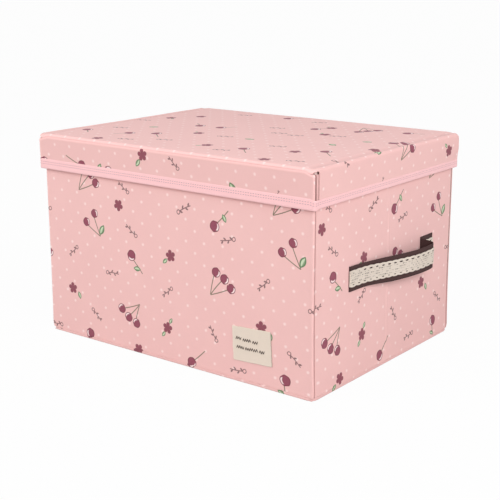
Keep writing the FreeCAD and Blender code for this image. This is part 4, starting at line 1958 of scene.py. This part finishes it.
def stitches(
    name: str, centres: np.ndarray, ways: np.ndarray, length: float, width: float
) -> bpy.types.Object:
    """Row of short threads: each is a six-sided spindle along its way.

    Args:
        name: name of the piece.
        centres: one point for each thread.
        ways: unit direction of each thread.
        length: length of a thread.
        width: its thickness.
    """
    along = np.array([-0.5, -0.36, 0.0, 0.36, 0.5]) * length
    girth = np.array([0.25, 0.8, 1.0, 0.8, 0.25]) * width / 2
    turn = np.arange(6) * math.pi / 3
    across = np.cross(ways, [0.0, 0.0, 1.0])
    upright = np.linalg.norm(across, axis=1, keepdims=True) < 1e-6
    across = unit(np.where(upright, [1.0, 0, 0], across))
    lift = np.cross(ways, across)
    ring = (
        across[:, None, None] * (girth[:, None] * np.cos(turn))[None, :, :, None]
        + lift[:, None, None] * (girth[:, None] * np.sin(turn))[None, :, :, None]
    )
    points = centres[:, None, None] + ways[:, None, None] * along[None, :, None, None] + ring
    ids = np.arange(points[..., 0].size).reshape(points.shape[:3])
    skin = strip_quads(np.concatenate([ids, ids[:, :, :1]], axis=2))
    first, last = ids[:, 0], ids[:, -1]
    caps = [first[:, [0, 3, 2, 1]], first[:, [0, 5, 4, 3]], last[:, :4], last[:, [3, 4, 5, 0]]]
    mesh = mesh_from(name, points.reshape(-1, 3), np.concatenate([skin, *caps]))
    return add_piece(name, mesh)


@dataclass
class StrapLine:
    """Line of a handle's ribbon along its end wall, at even steps.

    length is the way walked along it. Each row of places holds the place along Y, the
    distance out of the wall and the height of the ribbon's middle.
    """

    length: np.ndarray
    places: np.ndarray

    @classmethod
    def drawn(cls, step: float) -> "StrapLine":
        """Smooth line through the ribbon's way, rounded by cutting its corners four times."""
        corners = np.array([
            (-81, -2.3, 119), (-81, 0.2, 119), (-80.2, 1.2, 119), (-66, 1.4, 118.8),
            (-50, 2, 118.4), (-27, 5, 117), (1, 8.4, 114.9), (40, 13.4, 113.1),
            (62, 14.4, 113.3), (76, 14.6, 113.8), (81, 13.6, 114.4), (80.6, 10.6, 115.4),
            (76.5, 5.6, 117.4), (72.6, 2.2, 119.6), (72, 1, 120.6), (75.5, 0.9, 120.6),
            (88, 0.9, 120.6), (100.2, 0.9, 120.6), (101, 0.5, 120.6), (101, -2.3, 120.6),
        ])
        for _ in range(4):
            near = corners[:-1] * 0.75 + corners[1:] * 0.25
            far = corners[:-1] * 0.25 + corners[1:] * 0.75
            cut = np.stack([near, far], axis=1).reshape(-1, 3)
            corners = np.concatenate([corners[:1], cut, corners[-1:]])
        walk = np.linalg.norm(np.diff(corners, axis=0), axis=1)
        length = np.concatenate([[0], np.cumsum(walk)])
        even = steps(0, length[-1], step)
        return cls(even, np.array([np.interp(even, length, column) for column in corners.T]))

    def at(self, length: np.ndarray, across: np.ndarray, off: np.ndarray, side: int) -> np.ndarray:
        """Points at a length along the ribbon, across it and off its middle.

        Args:
            length: length along the ribbon.
            across: distance above the middle of the ribbon's width.
            off: distance off the line, away from the wall.
            side: +1 for the right end of the case and -1 for the left.

        Returns:
            A point for each place.
        """
        slopes = np.gradient(self.places[:2], self.length, axis=1)
        along, out, up, slope_along, slope_out = (
            np.interp(length, self.length, values) for values in (*self.places, *slopes)
        )
        size = np.maximum(np.hypot(slope_along, slope_out), 1e-6)
        y = along - slope_out / size * off
        x = side * (SIZES.half_length + out + slope_along / size * off)
        return grid(x, y, up + across)


@dataclass
class Handle:
    """A ribbon handle faced with lace, on one end of the case."""

    end: str
    lace_half: float = 9.6
    thickness: float = 1.0
    lace_thickness: float = 0.5
    eyelet_pitch: float = 10.8
    bend_reach: float = 16.0

    @property
    def side(self) -> int:
        """+1 for the right end and -1 for the left."""
        return 1 if self.end == "right" else -1

    def build(self) -> None:
        """Build the ribbon and its lace."""
        line = StrapLine.drawn(1.0)
        self.ribbon(line)
        self.lace(line)

    def ribbon(self, line: StrapLine) -> None:
        """The ribbon: a long sheet with soft edges that ripple a little."""
        shares = mirrored(np.array([0, 0.2, 0.4, 0.6, 0.8, 0.93, 0.985, 1]))[:, None]
        half_width = np.interp(line.places[0], [-81, -45, -5], [14.3, 13.9, 15.0])[None]
        across = shares * half_width
        length = line.length[None]
        edge = smooth_step((half_width - np.abs(across)) / 0.6)
        off = self.thickness / 2 * (0.45 + 0.55 * edge)
        free = smooth_step((line.places[1][None] - 1.5) / 6)
        curl = 0.35 * free * np.sin(length / 11.0) * shares**2
        points = line.at(length, across, off + curl, self.side)
        surface = Surface(points[:: self.side], grid(length, across)[:: self.side])
        cloth = Cloth(self.thickness, Finish.BROWN_RIBBON, outward=None)
        strap = sheet_piece(f"{self.end}_strap", surface, cloth)
        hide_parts(f"{self.end}_handle_strap")
        bend_at_end(strap, self.end, self.bend_reach)

    def lace(self, line: StrapLine) -> None:
        """The lace: rows of eyelets and of fine holes between scalloped edges.

        Each hole is a ring of faces between the edge of its cell and an oval, with a raised
        rim. The cells are laid out flat, then bent along the ribbon.
        """
        out = line.places[1]
        start = np.interp(0.6, out[:30], line.length[:30])
        stop = line.length[out > 0.6][-1]
        pitch = (stop - start) / round((stop - start) / self.eyelet_pitch)
        flat, faces = LaceBands(start, stop, pitch, self.lace_half).laid_out()
        length, across, lift = flat.T
        ripple_off = 0.12 * np.sin(length / 3.1) * (np.abs(across) / self.lace_half) ** 2
        off = self.thickness + 0.55 + lift + ripple_off
        points = line.at(length, across, off, self.side)
        faces = faces[:, :: self.side]
        name = f"{self.end}_lace"
        mesh = mesh_from(name, points, faces)
        flat_corners = with_third(flat[:, :2])[faces]
        write_attribute(mesh, "cloth", "FLOAT_VECTOR", "CORNER", flat_corners)
        lace = add_piece(name, mesh)
        weld = lace.modifiers.new("weld", "WELD")
        weld.merge_threshold = 0.02 * METRES
        with bpy.context.temp_override(object=lace, active_object=lace):
            bpy.ops.object.modifier_apply(modifier=weld.name)
        solid = lace.modifiers.new("thickness", "SOLIDIFY")
        solid.thickness = self.lace_thickness * METRES
        solid.offset = -1.0
        dress(lace, Finish.LACE)
        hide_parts(f"{self.end}_handle_lace")
        bend_at_end(lace, self.end, self.bend_reach)


@dataclass
class LaceBands:
    """Bands of a lace across its width, laid out flat."""

    start: float
    stop: float
    pitch: float
    half: float

    def laid_out(self) -> tuple[np.ndarray, np.ndarray]:
        """All cells of the lace.

        Returns:
            Rows of length, place across and lift for each vertex, and faces of four corners.
        """
        parts: list[tuple[np.ndarray, np.ndarray]] = []
        draw = np.random.default_rng(7)
        count = round((self.stop - self.start) / self.pitch)
        eyelet_starts = self.start + self.pitch * np.arange(count)
        field_width = self.pitch / 4
        field_starts = self.start + field_width * np.arange(count * 4)
        for low, eyelet, few in ((-7.8, (2.1, 0.5), 1.0), (5.2, (3.1, 0.82), 0.4)):
            size = draw.uniform(0.8, 1.08, count)
            size[: count // 7] *= few
            parts.append(self.cells(eyelet_starts, low, self.pitch, 2.6, 10, eyelet, size, 0.2))
        for low in (-5.2, -2.6, 0.0, 2.6):
            size = draw.choice([0.2, 0.5, 0.9, 1.3, 1.7], len(field_starts))
            parts.append(
                self.cells(field_starts, low, field_width, 2.6, 3, (0.5, 0.42), size, 0.12)
            )
        for sign in (-1, 1):
            parts.append(self.scallops(sign))
        vertices, faces, total = [], [], 0
        for points, cells in parts:
            vertices.append(points)
            faces.append(cells + total)
            total += len(points)
        return np.concatenate(vertices), np.concatenate(faces)

    def cells(
        self,
        starts: np.ndarray,
        low: float,
        width: float,
        height: float,
        divisions: int,
        hole: Point,
        size: np.ndarray,
        rim: float,
    ) -> tuple[np.ndarray, np.ndarray]:
        """One row of cells, each with an oval hole.

        The cell's edge is walked in even steps. Each point on it joins to the oval's point
        at the same angle, by way of a raised rim.

        Args:
            starts: length along the lace at which each cell starts.
            low: place across the lace of the cells' lower edge.
            width: width of a cell along the lace.
            height: height of a cell across the lace.
            divisions: steps along the lower and the upper edge of a cell.
            hole: half width and half height of the oval.
            size: scale of each cell's oval.
            rim: height of the raised rim.

        Returns:
            Rows of length, place across and lift for each vertex, and faces of four corners.
        """
        run = np.linspace(0, width, divisions + 1)[:-1]
        rise = np.linspace(0, height, 3)[:-1]
        edge = np.concatenate([
            np.stack([run, np.zeros(divisions)], axis=1),
            np.stack([np.full(2, width), rise], axis=1),
            np.stack([width - run, np.full(divisions, height)], axis=1),
            np.stack([np.zeros(2), height - rise], axis=1),
        ]) - np.array([width / 2, height / 2])
        angle = np.arctan2(edge[:, 1] / height, edge[:, 0] / width)
        oval = np.stack([np.cos(angle), np.sin(angle)], axis=1) * hole * size[:, None, None]
        centre = np.stack([starts + width / 2, np.full(len(starts), low + height / 2)], axis=1)
        rings = []
        for line, lift in ((edge[None], 0.0), (oval * 1.35, rim), (oval, rim * 0.3)):
            placed = line + centre[:, None]
            rings.append(np.concatenate([placed, np.full((*placed.shape[:2], 1), lift)], axis=2))
        points = np.stack(rings, axis=1)
        count, levels, around = points.shape[:3]
        ids = np.arange(count * levels * around).reshape(count, levels, around)
        faces = strip_quads(np.concatenate([ids, ids[:, :, :1]], axis=2))
        return points.reshape(-1, 3), faces

    def scallops(self, sign: int) -> tuple[np.ndarray, np.ndarray]:
        """Scalloped border: its edge swells once in each pitch."""
        count = round((self.stop - self.start) / self.pitch) * 10
        length = np.linspace(self.start, self.stop, count + 1)
        swell = np.abs(np.sin(math.pi * (length - self.start) / self.pitch)) ** 0.8
        depth = 0.6 if sign > 0 else 0.9
        outer = self.half + 0.25 * sign - 0.1 - depth * (1 - swell)
        rows = np.stack([np.full(count + 1, 7.8), (7.8 + outer) / 2, outer]) * sign
        lift = np.array([0.0, 0.14, 0.0])[:, None] + 0 * rows
        points = np.stack([np.broadcast_to(length, rows.shape), rows, lift], axis=2)
        ids = np.arange(3 * (count + 1)).reshape(3, count + 1)
        faces = quads(ids)
        return points.reshape(-1, 3), faces if sign > 0 else faces[:, ::-1]


@dataclass
class Label:
    """The beige label on the front wall, with a frayed edge and two rows of stitches."""

    width: float = 52.4
    height: float = 39.3
    tilt: float = 2.9
    lean: float = 2.4
    shift: Point = (1.0, 2.2)
    thickness: float = 0.6
    cell: float = 0.7
    fray: float = 0.32
    fray_reach: float = 0.8

    def build(self) -> None:
        """Build the label and its stitches."""
        low, high = node_box("label")
        middle = (low + high) / 2
        centre = (middle[0] + self.shift[0], middle[2] + self.shift[1])
        draw = np.random.default_rng(9)
        self.cloth(centre, draw)
        self.stitch_rows(centre, draw)

    def cloth(self, centre: Point, draw: np.random.Generator) -> None:
        """The label's cloth, its edge frayed at random."""
        half_width, half_height = self.width / 2, self.height / 2
        across = steps(-half_width, half_width, self.cell)[None]
        up = steps(-half_height, half_height, self.cell)[:, None]
        near_x, near_y = (
            np.exp(-(half - np.abs(place)) / self.fray_reach)
            for half, place in ((half_width, across), (half_height, up))
        )
        fray_x = draw.uniform(-self.fray, self.fray, up.shape) * near_x
        fray_y = draw.uniform(-self.fray, self.fray, across.shape) * near_y
        first = across + fray_x * np.sign(across)
        second = up + fray_y * np.sign(up)
        points = self.on_wall(first, second, centre, self.thickness + 0.2)
        # rim lightens the frayed edge; shaded is painted shade along the right and lower edges.
        rim = hump(np.abs(across), half_width, 1.0) + hump(np.abs(up), half_height, 1.0)
        shaded = 6 * hump(across, half_width, 0.5) + 4 * hump(up, -half_height, 0.4)
        sheet = Cloth(self.thickness, Finish.LABEL, wear_and_painted_light=rim - shaded)
        piece = sheet_piece("label_cloth", Surface(points, grid(across, up)), sheet)
        stand_in(piece, "front_wall", "label")

    def stitch_rows(self, centre: Point, draw: np.random.Generator) -> None:
        """Two rows of plain zigzag stitches, each in three runs."""
        rows = []
        for start, stop, level in (
            (-21.7, -14.1, 6.5), (-12.0, -1.0, 5.4), (1.1, 8.7, 4.5),
            (-21.0, -10.6, -4.0), (-9.3, 8.0, -4.6), (10.0, 17.0, -5.0),
        ):
            along = steps(start, stop, 1.45)
            turns = np.where(np.arange(len(along)) % 2, 1, -1)
            rows.append(grid(along, level + draw.uniform(1.2, 2.4, len(along)) * turns))
        begin, end = (
            self.on_wall(*np.concatenate(ends).T, centre, self.thickness + 0.35)
            for ends in ([row[:-1] for row in rows], [row[1:] for row in rows])
        )
        threads = stitches("label_stitches", (begin + end) / 2, unit(end - begin), 3.9, 0.72)
        dress(threads, Finish.DARK_THREAD)
        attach(threads, "front_wall")

    def on_wall(
        self, first: np.ndarray, second: np.ndarray, centre: Point, off: float
    ) -> np.ndarray:
        """Points of the label on the front wall's cloth: its rows tilt, its sides lean less."""
        turn, lean = math.radians(self.tilt), math.radians(self.lean)
        along = centre[0] + first * math.cos(turn) - second * math.sin(lean)
        up = centre[1] + first * math.sin(turn) + second * math.cos(lean)
        relief = wall_relief(along, up, SIZES.half_length, 3)
        return foot_flare(Side.FRONT.place(along, SIZES.half_width + relief + off, up))


# Stage


def put_up(
    data: bpy.types.Camera | bpy.types.Light,
    place: tuple[float, float, float],
    axes: tuple[np.ndarray, np.ndarray, np.ndarray],
) -> bpy.types.Object:
    """Stand a camera or a lamp at its place, with its own X, Y and Z along the axes."""
    holder = bpy.data.objects.new(data.name, data)
    bpy.context.scene.collection.objects.link(holder)
    placed = np.eye(4)
    placed[:3] = np.stack([*axes, place], axis=1)
    holder.matrix_world = Matrix(placed.tolist())
    return holder


@dataclass(frozen=True)
class Viewpoint:
    """Where the camera stands and looks, and the focal length for a 36 mm sensor."""

    place: tuple[float, float, float] = (0.800238, -1.028544, 0.445434)
    azimuth: float = -0.6603579
    elevation: float = 0.2567264
    roll: float = -0.00329
    lens: float = 78.2

    def build(self) -> None:
        """Make the camera and use it."""
        camera = bpy.data.cameras.new("camera")
        camera.lens = self.lens
        camera.sensor_width = 36.0
        camera.clip_end = 60.0
        level = math.cos(self.elevation)
        look = np.array([
            math.sin(self.azimuth) * level,
            math.cos(self.azimuth) * level,
            -math.sin(self.elevation),
        ])
        right = unit(np.cross(look, [0.0, 0.0, 1.0]))
        above = np.cross(right, look)
        turned_right = right * math.cos(self.roll) + above * math.sin(self.roll)
        turned_above = above * math.cos(self.roll) - right * math.sin(self.roll)
        axes = (turned_right, turned_above, -look)
        bpy.context.scene.camera = put_up(camera, self.place, axes)


@dataclass(frozen=True)
class Studio:
    """Plain pale floor and world, and soft lamps."""

    world_light: float = 0.42
    background: float = 1.0
    floor_glow: float = 0.97
    floor_half: float = 14000.0
    floor_level: float = -0.05

    def build(self) -> None:
        """Make the floor, the world and the lamps."""
        self.floor()
        self.world()
        self.lamp("key", (-0.7, -1.7, 1.4), 1.3, 25.5)
        self.lamp("fill", (1.7, -0.5, 1.1), 1.3, 23.4)
        self.lamp("top", (0.0, 0.3, 2.2), 1.6, 1.5)

    def floor(self) -> None:
        """Large pale plane. It looks near white to the camera, and still takes shadow."""
        edge = np.linspace(-self.floor_half, self.floor_half, 3)
        points = grid(edge[None], edge[:, None], self.floor_level).reshape(-1, 3)
        mesh = mesh_from("floor", points, quads(np.arange(9).reshape(3, 3)))
        floor = add_piece("floor", mesh)
        material = bpy.data.materials.new("pale_floor")
        material.use_nodes = True
        tree = material.node_tree
        shader = tree.nodes["Principled BSDF"]
        shader.inputs["Base Color"].default_value = (0.62, 0.62, 0.62, 1.0)
        shader.inputs["Roughness"].default_value = 0.9
        glow = tree.nodes.new("ShaderNodeEmission")
        glow.inputs["Strength"].default_value = self.background
        path = tree.nodes.new("ShaderNodeLightPath")
        share = Num(tree, path.outputs["Is Camera Ray"]) * self.floor_glow
        mix = tree.nodes.new("ShaderNodeMixShader")
        tree.links.new(share.source, mix.inputs["Fac"])
        tree.links.new(shader.outputs["BSDF"], mix.inputs[1])
        tree.links.new(glow.outputs["Emission"], mix.inputs[2])
        tree.links.new(mix.outputs["Shader"], tree.nodes["Material Output"].inputs["Surface"])
        floor.data.materials.append(material)

    def world(self) -> None:
        """Even pale light all round, and a near-white background to the camera."""
        world = bpy.data.worlds.new("studio")
        bpy.context.scene.world = world
        world.use_nodes = True
        tree = world.node_tree
        shine = tree.nodes["Background"]
        shine.inputs["Color"].default_value = (1.0, 1.0, 1.0, 1.0)
        path = tree.nodes.new("ShaderNodeLightPath")
        seen = Num(tree, path.outputs["Is Camera Ray"])
        seen = seen.either(Num(tree, path.outputs["Is Glossy Ray"]))
        strength = seen * (self.background - self.world_light) + self.world_light
        tree.links.new(strength.source, shine.inputs["Strength"])

    def lamp(
        self, name: str, place: tuple[float, float, float], size: float, power: float
    ) -> None:
        """Large square lamp that looks at the middle of the box."""
        light = bpy.data.lights.new(name, "AREA")
        light.size = size
        light.energy = power
        aim = unit(np.array(place) - np.array([0.0, 0.0, 0.12]))
        across = unit(np.cross([0.0, 0.0, 1.0], aim + np.array([1e-6, 0.0, 0.0])))
        put_up(light, place, (across, np.cross(aim, across), aim))


def dress_boards() -> None:
    """Give every packed board its fibre finish."""
    for name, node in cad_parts.items():
        if name.endswith("board"):
            dress(node, Finish.BOARD)


def main() -> None:
    """Build the box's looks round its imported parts, then the stage."""
    logging.basicConfig(level=logging.INFO, format="%(name)s %(message)s")
    bpy.context.scene.view_settings.view_transform = "Standard"
    Viewpoint().build()
    Studio().build()
    dress_boards()
    for part in (Case(), Lid(), Handle("right"), Handle("left"), Label()):
        part.build()


if __name__ == "__main__":
    main()
